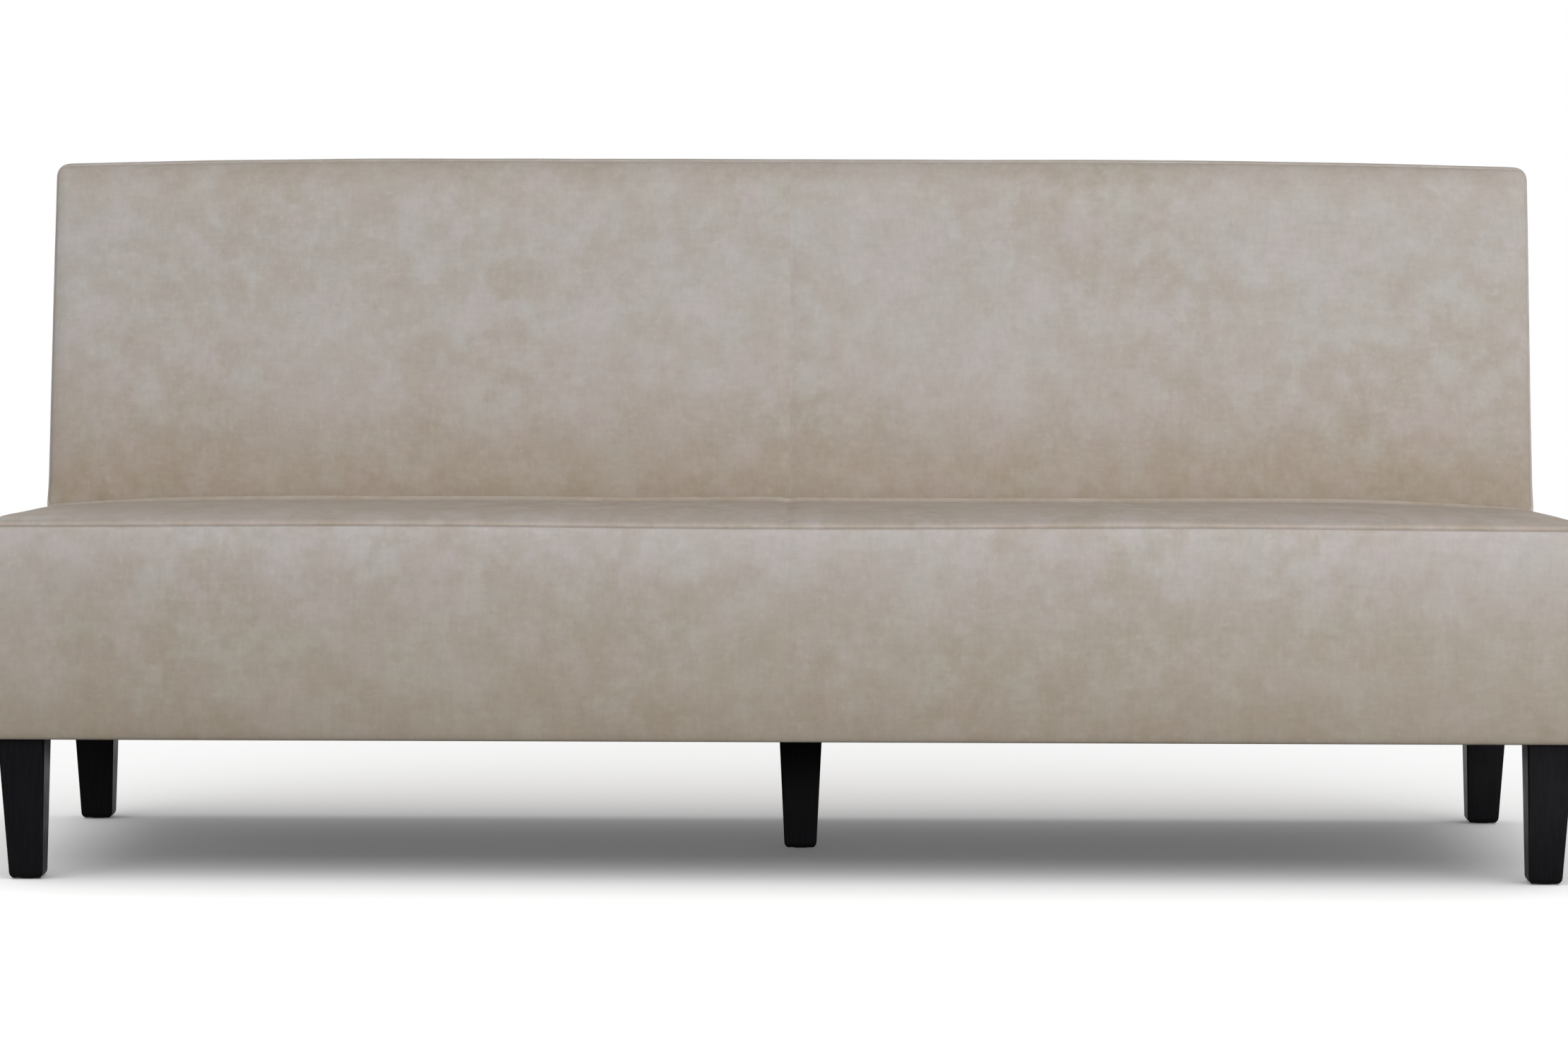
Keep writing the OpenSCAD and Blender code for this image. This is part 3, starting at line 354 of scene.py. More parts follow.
def suede(name, offset, painted_shading=no_painted_shading, axis="Z", ends=(0, 1), stretch=(1, 1, 1), depth=1):
    """Brushed leather-look suede: soft patches of grey, rose and tan, flecked and finely streaked.
    Painted light and shade change its colour along an axis between two ends, and its two panels
    are cut from two places.
    A depth above 1 deepens the patches."""
    material, tree, surface = shader(name, (0.42, 0.37, 0.31), 0.82)
    spot = on_object(tree)
    axes = add(tree, "SeparateXYZ", {"Vector": spot}).outputs
    right_panel = maths(tree, "GREATER_THAN", axes["X"], 0)
    shift = maths(tree, "MULTIPLY", right_panel, second_cut)
    cut = add(tree, "CombineXYZ", {"Z": shift}).outputs[0]
    laid = {"Vector": spot, "Location": offset, "Scale": stretch}
    place = add(tree, "Mapping", laid).outputs[0]
    place = add(tree, "VectorMath", {0: place, 1: cut}, operation="ADD").outputs[0]
    grey = patches(tree, place, 19, 5, 0.44, 0.62)
    rose = patches(tree, place, 13, 4, 0.46, 0.64, (1.2, 1.2, 1))
    tan = patches(tree, place, 30, 4, 0.46, 0.66)
    broad = patches(tree, place, 3.4, 2, 0.35, 0.65)
    flecks = patches(tree, place, 90, 2, 0.58, 0.74)
    colour = (0.440, 0.390, 0.333, 1)
    for patch, share, tint in (
        (grey, 0.75 * depth, (0.478, 0.458, 0.418, 1)),
        (rose, 0.65 * depth, (0.502, 0.442, 0.424, 1)),
        (tan, 0.60 * depth, (0.405, 0.352, 0.288, 1)),
        (broad, 0.45 * depth, (0.492, 0.452, 0.425, 1)),
        (flecks, 0.26, (0.560, 0.520, 0.470, 1)),
    ):
        colour = mixed(tree, maths(tree, "MULTIPLY", patch, share), colour, tint)
    upright = patches(tree, place, 60, 3, 0.3, 0.7, (2.6, 2.6, 0.8))
    level = patches(tree, place, 60, 3, 0.3, 0.7, (0.8, 2.6, 2.6))
    grain = patches(tree, place, 900, 2, 0.3, 0.7)
    streaks = maths(tree, "ADD", maths(tree, "ADD", upright, level), grain)
    colour = mixed(tree, 1.0, colour, ranged(tree, streaks, 0.6, 2.4, 0.94, 1.06), "MULTIPLY")
    # Painted shade and painted highlight: a ramp along the axis darkens or lightens the colour as
    # light falls on the panel.
    along = ranged(tree, axes[axis], *ends)
    colour = mixed(tree, 1.0, colour, ramp(tree, along, painted_shading), "MULTIPLY")
    pile = bumped(tree, grain, 0.12, 0.0005)
    feed(tree, surface, {
        "Base Color": colour,
        "Roughness": ranged(tree, grey, to_low=0.86, to_high=0.76),
        "Specular IOR Level": 0.22,
        "Sheen Weight": 0.06,
        "Sheen Roughness": 0.5,
        "Normal": bumped(tree, upright, 0.2, 0.0006, under=pile),
    })
    return material


# Painted shading of the seat from front to rear: a lighter, greyer front roll as painted
# highlight, a darker middle as painted shade, and a lighter rear lip as painted highlight.
seat_painted_shading = (
    (0.00, (0.97, 0.935, 0.91)),
    (0.05, (0.97, 0.935, 0.91)),
    (0.20, (0.87, 0.80, 0.73)),
    (0.45, (0.83, 0.765, 0.695)),
    (0.92, (0.83, 0.765, 0.695)),
    (0.96, (1.03, 0.965, 0.89)),
)
seat_shading_ends = (front_y + seat_front, front_y + seat_rear)
seat_cushion.data.materials.append(suede(
    "suede_seat", (0.31, 0.83, 0.17), seat_painted_shading, "Y", seat_shading_ends, stretch=(1, 0.32, 1), depth=1.33
))
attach(seat_cushion, "root")
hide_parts("seat_top_cover", "seat_wadding", "seat_foam")


# Tight inside back: foam on the woven webbing, under wadding and a cover of two panels.
# It leans back 12.5 degrees, rolls back at its sides and head to the seam with the boxing,
# and its foot goes down behind the seat.
back_half = 1.0245
back_foot_y = 0.5483
seat_rear_z = 0.449
back_tuck = 0.040
tuck_narrowing = 0.986
back_head_z = 0.918
head_rise = 0.009
head_rise_run = 0.620
rake = math.tan(math.radians(12.5))
back_roll = 0.012
back_roll_run = 0.028
back_crown = 0.0045
side_crown_run = 0.22
head_crown_run = 0.16
foot_crown_run = 0.15
back_wave = 0.21
side_draw_run = 0.045
back_corner_r = 0.013
crevice_height = 0.004
back_allowance = 0.004
back_foam_inset = 0.010
back_wall_y = 0.680


def head_lift(x):
    """Rise of the back's head from its ends to its middle."""
    return head_rise * eased((back_half - abs(x)) / head_rise_run)


def back_seam_y(z):
    """Depth of the seam with the boxing, which meets the seat's rear edge at its foot."""
    rise = max(0, z - seat_rear_z)
    return back_foot_y + back_roll * eased(rise / side_draw_run) + rise * rake


def back_face_y(x, z):
    """Depth of the cover: rolled edges, a crown, and the dip of the middle seam."""
    rise = max(0, z - seat_rear_z)
    side = back_half - abs(x)
    head = back_head_z + head_lift(x) - z
    edge = rolled(side / back_roll_run) * rolled(head / back_roll_run)
    crown = back_crown * eased(side / side_crown_run) * eased(head / head_crown_run)
    crown *= eased(rise / foot_crown_run)
    draw = back_roll * eased(rise / side_draw_run) * edge
    dip = seam_dip * edge * hump(x / seam_run)
    return back_seam_y(z) - draw - crown + dip - edge * uneven(x, 0, z, back_wave, packing)


def webbing_y(z):
    """Depth of the back's foam, whose rear leans half as much as its face."""
    return front_y + back_wall_y + rake * (z - seat_rear_z) / 2


def back_wall(inset, depth):
    """Next ring of the back's wall: drawn in, and carried back by depth, or to the webbing."""
    def step(co):
        x = math.copysign(min(abs(co.x), back_half - inset), co.x)
        z = min(co.z, back_head_z + head_lift(co.x) - inset)
        return Vector((x, co.y + depth if depth else webbing_y(z), z))
    return step


def back_fold(co):
    """Closes the foam's rear face in a fold along its middle."""
    level = (back_head_z + seat_rear_z) / 2
    return Vector((co.x, webbing_y(level), level))


def round_head(x, z):
    """Draws the back's upper corners in to the curve of the boxing round them."""
    head = back_head_z + head_lift(x)
    u = (abs(x) - back_half + back_corner_r) / back_corner_r
    v = (z - head + back_corner_r) / back_corner_r
    if u <= 0 or v <= 0:
        return x, z
    across = back_half - back_corner_r + back_corner_r * u * math.sqrt(1 - v * v / 2)
    height = head - back_corner_r + back_corner_r * v * math.sqrt(1 - u * u / 2)
    return math.copysign(across, x), height


back = bmesh.new()
bmesh.ops.create_grid(back, x_segments=200, y_segments=56, size=1)
back_foot_z = seat_rear_z - back_tuck
for point in back.verts:
    x = back_half * fine_at_seams(point.co.x, crowding=0.8)
    height = back_head_z + head_lift(x) - back_foot_z
    z = back_foot_z + height * (fine_at_ends(point.co.y, crowding=0.75) + 1) / 2
    depth = back_face_y(x, z) - back_seam_y(z)
    round_x, round_z = round_head(x, z)
    if z < seat_rear_z:
        round_x *= tuck_narrowing
    point.co = Vector((round_x, front_y + back_seam_y(round_z) + depth, round_z))
back.verts.index_update()
back_free = {
    point.index for point in back.verts
    if abs(point.co.x) > sewn_width and not point.is_boundary
    and point.co.z > seat_rear_z + crevice_height
}
walled(back, [back_wall(back_allowance, back_allowance), back_wall(back_foam_inset, 0), back_fold])
back_cushion = new_piece("back_cushion", back)
puffed(back_cushion, back_free)
finer(back_cushion)
# Painted shading of the inside back by height: darker and warmer at the foot by the crevice as
# painted shade, lighter and cooler higher up as painted sheen, and darker again at the rolled head
# as painted shade.
back_painted_shading = (
    (0.00, (0.745, 0.685, 0.61)),
    (0.12, (0.81, 0.765, 0.71)),
    (0.32, (0.935, 0.93, 0.95)),
    (0.55, (0.98, 1.0, 1.04)),
    (0.80, (0.99, 1.01, 1.06)),
    (0.94, (0.99, 1.0, 1.02)),
    (1.00, (0.90, 0.885, 0.87)),
)
back_shading_ends = (seat_rear_z, back_head_z)
back_cushion.data.materials.append(suede("suede_back", (0, 0, 0), back_painted_shading, "Z", back_shading_ends))
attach(back_cushion, "root")
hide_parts("inside_back_cover", "back_wadding", "back_foam")


# Front border: a wadded strip of two panels sewn to the seat and wrapped round both corners.
# It draws in a little at its seam and at its foot, and is turned under the frame and stapled.
half_width = 1.0275
corner_r = 0.022
corner_bend = corner_r * math.pi / 2
corner_wrap = 0.010
border_foot_z = 0.1826
border_belly = 0.006
seam_draw = 0.004
side_belly = 0.002
side_draw = 0.002
border_edge_run = 0.014
border_wave = 0.2
border_packing = 0.7 * packing
settling_run = 0.03
seat_gap = 0.0006
turn_under = 0.020
turned_rows = 0.10
seam_rows = 0.03
seam_tuck = 0.006
seam_sink = 0.0004
border_backing = 0.006


def border_inset(z, head, inset, turn):
    """Inset of a border's face, from the front's at turn 0 to the sides' flatter one at 1."""
    share = min(1, max(0, (z - border_foot_z) / (head - border_foot_z)))
    belly = (border_belly + (side_belly - border_belly) * turn) * (2 * share - 1) ** 2
    foot_roll = rolled((z - border_foot_z) / border_edge_run)
    head_roll = rolled((head - z) / border_edge_run)
    draw = seam_draw + (side_draw - seam_draw) * turn
    return inset + belly + draw * (2 - foot_roll - head_roll)


def border_row(share, head):
    """Height and extra inset of a row: turned under, up the face, and turned in at the seam."""
    if share < turned_rows:
        return border_foot_z, turn_under * (1 - share / turned_rows)
    if share > 1 - seam_rows:
        return head - seam_sink, seam_tuck * (share - 1 + seam_rows) / seam_rows
    t = (share - turned_rows) / (1 - seam_rows - turned_rows)
    up_share = (fine_at_ends(2 * t - 1, crowding=0.7) + 1) / 2
    return border_foot_z + (head - border_foot_z) * up_share, 0


def settled(*distances):
    """Share from 0 at sewn edges to 1 a little way in from all of them."""
    return math.prod(rolled(distance / settling_run) for distance in distances)


def on_corner_path(distance, inset):
    """Point of the front border's plan, by its distance along the path from the middle."""
    straight = half_width - corner_r
    side = math.copysign(1, distance)
    along = abs(distance)
    if along <= straight:
        return Vector((side * along, front_y + inset))
    if along <= straight + corner_bend:
        angle = (along - straight) / corner_r
        reach = corner_r - inset
        across = straight + reach * math.sin(angle)
        return Vector((side * across, front_y + corner_r - reach * math.cos(angle)))
    past = along - straight - corner_bend
    return Vector((side * (half_width - inset), front_y + corner_r + past))


front_path = half_width - corner_r + corner_bend + corner_wrap
border = bmesh.new()
bmesh.ops.create_grid(border, x_segments=216, y_segments=40, size=1)
for point in border.verts:
    distance = front_path * fine_at_seams(point.co.x, crowding=0.75)
    x = on_corner_path(distance, 0).x
    head = seat_seam_z(x, seat_front) - seat_gap
    turn = min(1, max(0, (abs(distance) - half_width + corner_r) / corner_bend))
    z, inward = border_row((point.co.y + 1) / 2, head)
    inset = border_inset(z, head, inward, turn)
    if inward == 0:
        inset += seam_dip / 2 * hump(x / seam_run)
        packed = uneven(x, 0.4, z, border_wave, border_packing)
        inset -= packed * settled(z - border_foot_z, head - z)
    place = on_corner_path(distance, inset)
    point.co = Vector((place.x, place.y, z))


def outwards(source, way):
    """Turns an open panel's faces so that most of it looks the given way."""
    source.normal_update()
    total = Vector((0, 0, 0))
    for face in source.faces:
        total += face.normal * face.calc_area()
    if total.dot(way) < 0:
        bmesh.ops.reverse_faces(source, faces=source.faces)


def backed(piece, thickness):
    """Gives a panel its cover and wadding, inwards from its face."""
    wall = piece.modifiers.new("wadding", "SOLIDIFY")
    wall.thickness = thickness
    wall.offset = -1
    wall.use_even_offset = False


outwards(border, Vector((0, -1, 0)))
front_border = new_piece("front_border", border)
backed(front_border, border_backing)
finer(front_border)
# Painted shading of the front and side borders by height: darker and warmer towards the foot as
# painted shade, lighter and cooler at the seam as painted sheen.
border_painted_shading = (
    (0.00, (0.70, 0.66, 0.585)),
    (0.25, (0.80, 0.77, 0.715)),
    (0.50, (0.85, 0.835, 0.80)),
    (0.75, (0.915, 0.91, 0.92)),
    (0.93, (1.02, 1.033, 1.085)),
)
border_shading_ends = (border_foot_z, front_seam_z)
front_border.data.materials.append(
    suede("suede_front", (1.7, 0.2, 0.9), border_painted_shading, "Z", border_shading_ends)
)
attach(front_border, "root")
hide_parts("front_border_cover", "front_border_wadding")


# Side borders: a wadded panel at each end, sewn to the seat, the boxing and the outside back.
# Each meets the front border in an upright seam just behind the corner,
# and is turned under the frame and stapled like it.
lean = math.tan(math.radians(3))
box_depth = 0.735
leg_height = 0.182
butted_gap = 0.0003
rear_gap = 0.0015
side_start = corner_r + corner_wrap + butted_gap


def outside_depth(z):
    """Depth of the outside back, which leans back 3 degrees."""
    return box_depth + (z - leg_height) * lean


for side_name, side in (("left", -1), ("right", 1)):
    panel = bmesh.new()
    bmesh.ops.create_grid(panel, x_segments=64, y_segments=40, size=1)
    for point in panel.verts:
        share = (fine_at_ends(point.co.x, crowding=0.6) + 1) / 2
        head = seat_seam_z(seat_half, side_start + share * (box_depth - side_start)) - seat_gap
        z, inward = border_row((point.co.y + 1) / 2, head)
        rear = outside_depth(z) - rear_gap
        y = side_start + share * (rear - side_start)
        inset = border_inset(z, head, inward, 1)
        if inward == 0:
            inset += seam_draw * (1 - rolled((rear - y) / border_edge_run))
            packed = uneven(side, y, z, border_wave, border_packing)
            inset -= packed * settled(z - border_foot_z, head - z, y - side_start)
        point.co = Vector((side * (half_width - inset), front_y + y, z))
    outwards(panel, Vector((side, 0, 0)))
    side_border = new_piece(side_name + "_border", panel)
    backed(side_border, border_backing)
    finer(side_border)
    side_offset = (0.6 * side, 1.1, 0.4)
    # Each side border takes the borders' painted shading by height.
    side_border.data.materials.append(
        suede("suede_side_" + side_name, side_offset, border_painted_shading, "Z", border_shading_ends)
    )
    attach(side_border, "root")
    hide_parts(side_name + "_border_cover")
    if side < 0:
        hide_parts("side_border_wadding")


# Boxing: a wadded band round the two ends and the top of the back, with small soft corners.
# It is sewn to the inside back in front and to the outside back behind,
# and its two feet stand on the seams of the side borders.
top_z = 0.930
top_corner_r = 0.016
boxing_foot_z = 0.4428
boxing_draw = 0.003
boxing_edge_run = 0.014
boxing_foot_draw = 0.0015
boxing_foot_run = 0.016
boxing_tuck = 0.005
boxing_wave = 0.16
boxing_packing = 0.0008
boxing_backing = 0.005
corner_z = top_z - head_rise - top_corner_r
corner_x = half_width - top_corner_r
upright_run = corner_z - boxing_foot_z
corner_run = top_corner_r * math.pi / 2
band_half = upright_run + corner_run + corner_x


def on_band(distance, inset):
    """Point of the band seen from the front, by its distance from the middle of the top."""
    side = math.copysign(1, distance)
    along = abs(distance)
    if along <= corner_x:
        return Vector((side * along, corner_z + top_corner_r - inset + head_lift(along)))
    if along <= corner_x + corner_run:
        angle = (along - corner_x) / top_corner_r
        reach = top_corner_r - inset
        lift = head_lift(corner_x) * (1 - angle / (math.pi / 2))
        across = corner_x + reach * math.sin(angle)
        return Vector((side * across, corner_z + reach * math.cos(angle) + lift))
    return Vector((side * (half_width - inset), corner_z - (along - corner_x - corner_run)))


boxing = bmesh.new()
bmesh.ops.create_grid(boxing, x_segments=400, y_segments=26, size=1)
for point in boxing.verts:
    distance = band_half * point.co.x
    level = on_band(distance, 0).y
    front = back_seam_y(level) + butted_gap
    width = outside_depth(level) - rear_gap - front
    share = (fine_at_ends(point.co.y, crowding=0.8) + 1) / 2
    behind = share * width
    front_roll = rolled(behind / boxing_edge_run)
    rear_roll = rolled((width - behind) / boxing_edge_run)
    inset = boxing_draw * (2 - front_roll - rear_roll)
    inset += boxing_foot_draw * (1 - rolled((level - boxing_foot_z) / boxing_foot_run))
    if share in (0, 1):
        inset += boxing_tuck
    packed = uneven(distance, share, 0, boxing_wave, boxing_packing)
    place = on_band(distance, inset - packed * settled(behind, width - behind))
    point.co = Vector((place.x, front_y + front + behind, place.y))
outwards(boxing, Vector((0, 0, 1)))
back_boxing = new_piece("back_boxing_band", boxing)
backed(back_boxing, boxing_backing)
finer(back_boxing)
back_boxing.data.materials.append(suede("suede_boxing", (0.4, 2.3, 1.2)))
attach(back_boxing, "root")
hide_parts("back_boxing", "back_edge_wadding")


# Outside back: one flat panel of the same cover, stretched over the back frame.
# Its edges are turned in and sewn blind to the boxing and the side borders,
# and its foot is turned under the rear rail.
outside_half = 1.0245
outside_turned_rows = 0.06
drum_height = 0.0015
drum_run = 0.012
outside_wave = 0.3
outside_sag_run = 0.08
outside_cloth = 0.0012
outside = bmesh.new()
bmesh.ops.create_grid(outside, x_segments=120, y_segments=50, size=1)
for point in outside.verts:
    x = outside_half * fine_at_ends(point.co.x, crowding=0.8)
    share = (point.co.y + 1) / 2
    head = top_z - boxing_draw + head_lift(x) - head_rise
    z = border_foot_z
    y = outside_depth(z) - rear_gap - turn_under * (1 - share / outside_turned_rows)
    if share >= outside_turned_rows:
        t = (share - outside_turned_rows) / (1 - outside_turned_rows)
        z += (head - z) * (fine_at_ends(2 * t - 1, crowding=0.8) + 1) / 2
        edge = min(outside_half - abs(x), head - z)
        sag = uneven(x, 1.7, z, outside_wave, packing) * rolled(edge / outside_sag_run)
        y = outside_depth(z) - rear_gap + drum_height * rolled(edge / drum_run) + sag
    point.co = Vector((x, front_y + y, z))
outwards(outside, Vector((0, 1, 0)))
outside_back = new_piece("outside_back_panel", outside)
backed(outside_back, outside_cloth)
finer(outside_back)
outside_back.data.materials.append(suede("suede_outside", (2.2, 0.5, 0.1)))
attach(outside_back, "root")
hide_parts("outside_back_cover")


# Dust cover: thin black nonwoven cloth under the seat, stapled over the borders' turned edges.
# It sags a little between the rails, and is held up where each leg's bolt goes through it.
dust_z = 0.1822
dust_edge = 0.013
dust_rear = 0.727
dust_half = half_width - dust_edge
dust_cloth = 0.0005
dust_clearance = 0.0003
dust_sag = 0.004
dust_sag_run = 0.2
dust_slack = 0.0012
slack_margin = 0.02
slack_waves = 9
rail_width = 0.03
dust_held = 0.045
dust_held_run = 0.08
legs = {
    "front_left_leg": (-0.976, 0.050, -1, -1),
    "front_right_leg": (0.976, 0.050, 1, -1),
    "rear_left_leg": (-0.976, 0.684, -1, 1),
    "rear_right_leg": (0.976, 0.684, 1, 1),
    "centre_leg": (0.018, 0.386, 0, 0),
}
dust = bmesh.new()
bmesh.ops.create_grid(dust, x_segments=96, y_segments=36, size=1)
for point in dust.verts:
    x = dust_half * point.co.x
    y = dust_edge + (dust_rear - dust_edge) * (point.co.y + 1) / 2
    inner = min(dust_half - abs(x), y - dust_edge, dust_rear - y) - rail_width
    sag = dust_sag * eased(inner / dust_sag_run) if inner > 0 else 0
    wave = noise.noise(Vector((slack_waves * x, slack_waves * y, 5)))
    slack = dust_slack * wave if inner > slack_margin else 0
    nearest = min(math.hypot(x - leg_x, y - leg_y) for leg_x, leg_y, _, _ in legs.values())
    free = eased((nearest - dust_held) / dust_held_run)
    z = dust_z + dust_clearance - free * (sag + abs(slack))
    point.co = Vector((x, front_y + y, z))
outwards(dust, Vector((0, 0, -1)))
dust_cover = new_piece("dust_cover_cloth", dust)
backed(dust_cover, dust_cloth)


def nonwoven(name):
    """Black spun cloth: a soft speckle of pressed points on a matt ground."""
    material, tree, surface = shader(name, (0.015, 0.015, 0.017), 0.9)
    place = on_object(tree)
    fibre = patches(tree, place, 300, 3, 0.35, 0.65)
    points = add(tree, "TexVoronoi", {"Vector": place, "Scale": 500}).outputs[0]
    feed(tree, surface, {
        "Base Color": mixed(tree, fibre, (0.010, 0.010, 0.012, 1), (0.026, 0.026, 0.029, 1)),
        "Normal": bumped(tree, points, 0.4, 0.0004),
    })
    return material


dust_cover.data.materials.append(nonwoven("black_nonwoven"))
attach(dust_cover, "root")
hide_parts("dust_cover")


# Legs: square hardwood, tapered more on the outer faces, with eased edges and a rounded foot.
# They are lacquered black and screwed up into the frame, and stand on round nylon glides.
leg_top = 0.060
leg_foot = 0.043
leg_taper = leg_top - leg_foot
outer_taper_share = 0.7
leg_edge_r = 0.0025
leg_foot_r = 0.007
leg_gap = 0.0004
glide_proud = 0.0015


def lacquered(name):
    """Black satin lacquer over close grained hardwood, whose grain just shows."""
    material, tree, surface = shader(name, (0.006, 0.0055, 0.0065), 0.45)
    place = on_object(tree)
    grain = patches(tree, place, 40, 5, 0.3, 0.7, (9, 9, 0.5))
    wear = patches(tree, place, 18, 4, 0.35, 0.7)
    feed(tree, surface, {
        "Base Color": mixed(tree, grain, (0.0045, 0.004, 0.0048, 1), (0.008, 0.0072, 0.0085, 1)),
        "Roughness": ranged(tree, wear, to_low=0.40, to_high=0.52),
        "Specular IOR Level": 0.03,
        "Normal": bumped(tree, grain, 0.12, 0.0004),
    })
    return material


def rounded(source, edges, radius, segments):
    """Rounds a solid's edges."""
    bmesh.ops.bevel(
        source, geom=edges, offset=radius, offset_type="OFFSET",
        affect="EDGES", segments=segments, profile=0.5, material=-1,
    )


def tapered(at, out, high):
    """One side of the leg's plan: widest at its head, and more so on the outer face."""
    way = math.copysign(1, at)
    share = outer_taper_share if way == out else 1 - outer_taper_share
    if out == 0:
        share = 0.5
    return way * (leg_foot / 2 + (share * leg_taper if high else 0))


black_lacquer = lacquered("black_lacquer")
for leg_name, (leg_x, leg_y, out_x, out_y) in legs.items():
    leg = bmesh.new()
    bmesh.ops.create_cube(leg, size=1)
    for point in leg.verts:
        high = point.co.z > 0
        x = leg_x + tapered(point.co.x, out_x, high)
        y = leg_y + tapered(point.co.y, out_y, high)
        point.co = Vector((x, front_y + y, leg_height - leg_gap if high else glide_proud))
    uprights = [e for e in leg.edges if abs(e.verts[0].co.z - e.verts[1].co.z) > leg_height / 2]
    rounded(leg, uprights, leg_edge_r, 3)
    foot_edges = [e for e in leg.edges if all(v.co.z < leg_height / 2 for v in e.verts)]
    rounded(leg, foot_edges, leg_foot_r, 4)
    bmesh.ops.recalc_face_normals(leg, faces=leg.faces)
    leg_piece = new_piece(leg_name + "_wood", leg)
    leg_piece.modifiers.new("even_shading", "WEIGHTED_NORMAL").keep_sharp = True
    leg_piece.data.materials.append(black_lacquer)
    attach(leg_piece, "root")
    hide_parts(leg_name)


def finish_nodes(names, material):
    """Gives the CAD's own solids their finish."""
    for node_name in names:
        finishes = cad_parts[node_name].data.materials
        finishes.clear()
        finishes.append(material)


def nylon(name):
    """Dark grey moulded nylon, scuffed by the floor."""
    material, tree, surface = shader(name, (0.05, 0.05, 0.052), 0.55)
    scuffs = patches(tree, on_object(tree), 220, 3, 0.4, 0.7)
    feed(tree, surface, {"Roughness": ranged(tree, scuffs, to_low=0.45, to_high=0.7)})
    return material


finish_nodes(["leg_glides"], nylon("grey_nylon"))


# Frame: sawn hardwood rails, posts and corner blocks, all inside the covers.
# The joints are dowelled and glued, and the blocks are screwed into the corners.
def sawn(name):
    """Pale hardwood with long grain and the fine cross marks of the saw."""
    material, tree, surface = shader(name, (0.55, 0.38, 0.21), 0.7)
    place = on_object(tree)
    grain = patches(tree, place, 22, 5, 0.3, 0.7, (0.25, 4, 4))
    marks = patches(tree, place, 90, 2, 0.35, 0.65, (4, 0.4, 0.4))
    feed(tree, surface, {
        "Base Color": mixed(tree, grain, (0.46, 0.30, 0.155, 1), (0.64, 0.47, 0.28, 1)),
        "Normal": bumped(tree, marks, 0.3, 0.0005),
    })
    return material


finish_nodes([
    "front_rail", "rear_rail", "left_side_rail", "right_side_rail", "centre_rail",
    "front_left_block", "front_right_block", "rear_left_block", "rear_right_block",
    "left_back_post", "right_back_post", "centre_back_post", "back_top_rail", "back_lower_rail",
    "frame_dowels",
], sawn("sawn_hardwood"))


# Springs and fastenings: sinuous springs of bright drawn wire in pressed clips, and tie wires.
# The screws, bolts and tee nuts are plated steel of the same brightness.
def drawn(name):
    """Bright steel with the fine lines of drawing and pressing."""
    material, tree, surface = shader(name, (0.46, 0.47, 0.49), 0.34)
    lines = patches(tree, on_object(tree), 160, 3, 0.3, 0.7, (1, 1, 6))
    feed(tree, surface, {
        "Metallic": 1,
        "Roughness": ranged(tree, lines, to_low=0.26, to_high=0.44),
    })
    return material


drawn_steel = drawn("drawn_steel")
spring_names = [f"seat_spring_{number:02d}" for number in range(1, 15)]
fastening_names = [
    "spring_clips", "tie_wires", "block_screws", "post_bolts", "leg_bolts", "tee_nuts",
]
finish_nodes(spring_names + fastening_names, drawn_steel)


# Staples: fine steel wire, shot up through the dust cover into the rails, a hand's breadth apart.
# Each crown is pressed flat against the cloth, and its ends turn up into the wood.
staple_crown = 0.010
staple_wire = 0.0011
flat_wire_share = 0.7
flat_crown_share = 0.25
staple_turn_up = 0.0016
staple_sink = 0.2 * staple_wire
staple_from_edge = 0.009
staple_step = 0.085
one = bmesh.new()
bmesh.ops.create_cube(one, size=1)
wire_size = (staple_crown, staple_wire, staple_wire * flat_wire_share)
bmesh.ops.scale(one, vec=wire_size, verts=one.verts)
long_edges = [edge for edge in one.edges if edge.calc_length() > staple_crown / 2]
bmesh.ops.subdivide_edges(one, edges=long_edges, cuts=4, use_grid_fill=True)
for point in one.verts:
    point.co.z += staple_turn_up * max(0, abs(point.co.x) / staple_crown - flat_crown_share)
one_staple = bpy.data.meshes.new("one_staple")
one.to_mesh(one_staple)
one.free()


def shoot(source, x, y, turn):
    """Adds one staple at a place, turned about the upright by an angle."""
    first = len(source.verts)
    source.from_mesh(one_staple)
    source.verts.ensure_lookup_table()
    points = source.verts[first:]
    turned_by = Matrix.Rotation(turn, 3, "Z")
    bmesh.ops.rotate(source, cent=(0, 0, 0), matrix=turned_by, verts=points)
    bmesh.ops.translate(source, vec=(x, front_y + y, dust_z - staple_sink), verts=points)


staples = bmesh.new()
row_half = dust_half - staple_from_edge
along_count = round(2 * row_half / staple_step)
for number in range(along_count + 1):
    x = row_half * (2 * number / along_count - 1)
    for y in (dust_edge + staple_from_edge, dust_rear - staple_from_edge):
        shoot(staples, x, y, 0)
side_count = round((dust_rear - dust_edge) / staple_step)
for number in range(1, side_count):
    y = dust_edge + (dust_rear - dust_edge) * number / side_count
    for x in (-row_half, row_half):
        shoot(staples, x, y, math.pi / 2)
bmesh.ops.recalc_face_normals(staples, faces=staples.faces)
bpy.data.meshes.remove(one_staple)
cloth_staples = new_piece("cloth_staples", staples)
cloth_staples.data.materials.append(drawn_steel)
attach(cloth_staples, "root")


# Webbing and felt: woven straps stretched over the back frame and tacked to it,
# and a pad of pressed waste felt that lies over the seat springs under the foam.
felt_edge_r = 0.001
flat_angle = math.radians(0.5)
sharp_angle = math.radians(60)


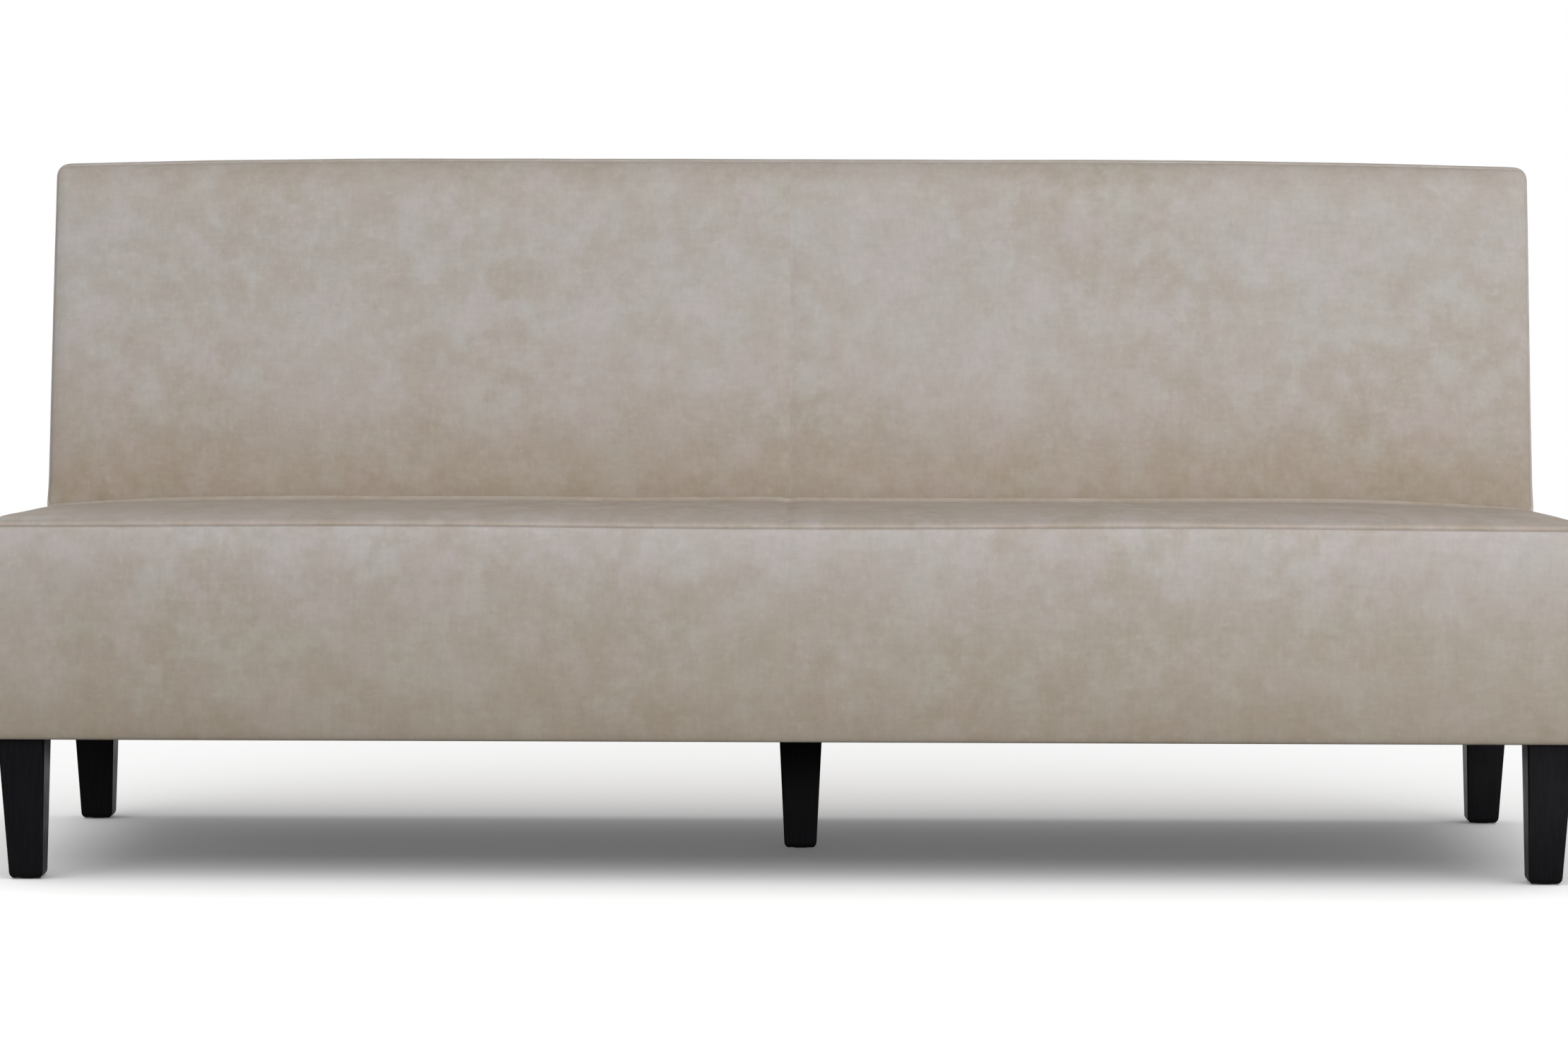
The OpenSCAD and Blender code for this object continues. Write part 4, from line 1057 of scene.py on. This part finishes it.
def woven(name):
    """Black webbing: two sets of fine ribs across each other."""
    material, tree, surface = shader(name, (0.04, 0.04, 0.045), 0.8)
    ribs = {"Vector": on_object(tree), "Scale": 260}
    across = add(tree, "TexWave", ribs, bands_direction="X").outputs[0]
    along = add(tree, "TexWave", ribs, bands_direction="Z").outputs[0]
    both = maths(tree, "MULTIPLY", across, along)
    feed(tree, surface, {
        "Base Color": mixed(tree, both, (0.025, 0.025, 0.028, 1), (0.07, 0.07, 0.075, 1)),
        "Normal": bumped(tree, both, 0.5, 0.0005),
    })
    return material


def felted(name):
    """Pressed waste fibre of mixed browns, rough all over."""
    material, tree, surface = shader(name, (0.28, 0.22, 0.16), 0.95)
    fibre = patches(tree, on_object(tree), 120, 5, 0.35, 0.65)
    feed(tree, surface, {
        "Base Color": mixed(tree, fibre, (0.20, 0.16, 0.12, 1), (0.38, 0.31, 0.24, 1)),
        "Normal": bumped(tree, fibre, 0.5, 0.001),
    })
    return material


def merged(node_name):
    """A copy of a node's solids, without doubled points or edges that lie in a flat."""
    source = bmesh.new()
    source.from_mesh(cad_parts[node_name].data)
    bmesh.ops.remove_doubles(source, verts=source.verts, dist=weld)
    bmesh.ops.dissolve_limit(
        source, angle_limit=flat_angle, verts=source.verts, edges=source.edges
    )
    return source


webbing_straps = new_piece("webbing_straps", merged("back_webbing"))
webbing_straps.data.materials.append(woven("woven_webbing"))
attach(webbing_straps, "root")
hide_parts("back_webbing")

felt = merged("spring_pad")
felt_edges = [e for e in felt.edges if e.is_manifold and e.calc_face_angle() > sharp_angle]
rounded(felt, felt_edges, felt_edge_r, 2)
felt_pad = new_piece("felt_pad", felt)
felt_pad.data.materials.append(felted("waste_felt"))
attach(felt_pad, "root")
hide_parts("spring_pad")


# Floor: a plain white studio floor that keeps the sofa's shadow and fades into the white surround.
# It is grey to the light it throws back, so the sofa isn't lit from below,
# and it can't be seen from beneath.
floor_reach = 4.6
fade_start = 2.4
fade_end = 4.4
seen_floor = (0.95, 0.95, 0.95, 1)
unseen_floor = (0.22, 0.22, 0.22, 1)
floor_lift = 0.10


def background_rays(tree):
    """1 for the rays that show the background: the camera's, and those in gloss and glass."""
    path = add(tree, "LightPath").outputs
    through = maths(tree, "MAXIMUM", path["Is Glossy Ray"], path["Is Transmission Ray"])
    return maths(tree, "MAXIMUM", path["Is Camera Ray"], through)


floor_source = bmesh.new()
bmesh.ops.create_grid(floor_source, x_segments=1, y_segments=1, size=floor_reach)
floor = new_piece("studio_floor", floor_source)
floor_material, floor_tree, floor_surface = shader("studio_white", (0.9, 0.9, 0.9), 0.9)
seen = background_rays(floor_tree)
reach = add(floor_tree, "VectorMath", {0: on_object(floor_tree)}, operation="LENGTH")
shown = ranged(floor_tree, reach.outputs["Value"], fade_start, fade_end, 1.0, 0.0)
from_beneath = add(floor_tree, "NewGeometry").outputs["Backfacing"]
from_above = maths(floor_tree, "SUBTRACT", 1.0, from_beneath)
feed(floor_tree, floor_surface, {
    "Base Color": mixed(floor_tree, seen, unseen_floor, seen_floor),
    "Specular IOR Level": 0,
    "Emission Color": (1, 1, 1, 1),
    "Emission Strength": maths(floor_tree, "MULTIPLY", seen, floor_lift),
    "Alpha": maths(floor_tree, "MULTIPLY", shown, from_above),
})
floor.data.materials.append(floor_material)


# Light: a wide soft box in front, weaker ones behind and at both ends, and an even surround.
# A large box overhead lights only the floor, and the others leave the floor out.
surround = 0.42


def soft_box(name, place, aim, width, height, power, floor_is):
    """A rectangular lamp aimed at a point, with the floor as all that it lights, or left out."""
    lamp = bpy.data.lights.new(name, "AREA")
    lamp.shape = "RECTANGLE"
    lamp.size = width
    lamp.size_y = height
    lamp.energy = power
    box = bpy.data.objects.new(name, lamp)
    box.location = place
    box.rotation_euler = (Vector(aim) - Vector(place)).to_track_quat("-Z", "Y").to_euler()
    bpy.context.scene.collection.objects.link(box)
    linked = bpy.data.collections.new(name + "_floor")
    linked.objects.link(floor)
    box.light_linking.receiver_collection = linked
    linked.collection_objects[0].light_linking.link_state = floor_is


soft_box("front_box", (3.0, -6.0, 1.95), (0, 0, 0.5), 5, 2.4, 290, "EXCLUDE")
soft_box("rear_box", (-0.5, 6.0, 1.6), (0, 0, 0.5), 6, 2.6, 120, "EXCLUDE")
soft_box("left_box", (-6.5, -2.2, 1.8), (-0.5, 0, 0.5), 3, 2.4, 85, "EXCLUDE")
soft_box("right_box", (6.5, -2.2, 1.8), (0.5, 0, 0.5), 3, 2.4, 32, "EXCLUDE")
soft_box("over_box", (0, -1.2, 4.0), (0, 0.1, 0), 9, 7, 260, "INCLUDE")

world = bpy.data.worlds.new("studio")
bpy.context.scene.world = world
world.use_nodes = True
sky = world.node_tree
feed(sky, sky.nodes["Background"], {
    "Color": (1, 1, 1, 1),
    "Strength": ranged(sky, background_rays(sky), to_low=surround, to_high=1.0),
})

bpy.context.scene.view_settings.view_transform = "Standard"

bpy.context.view_layer.update()
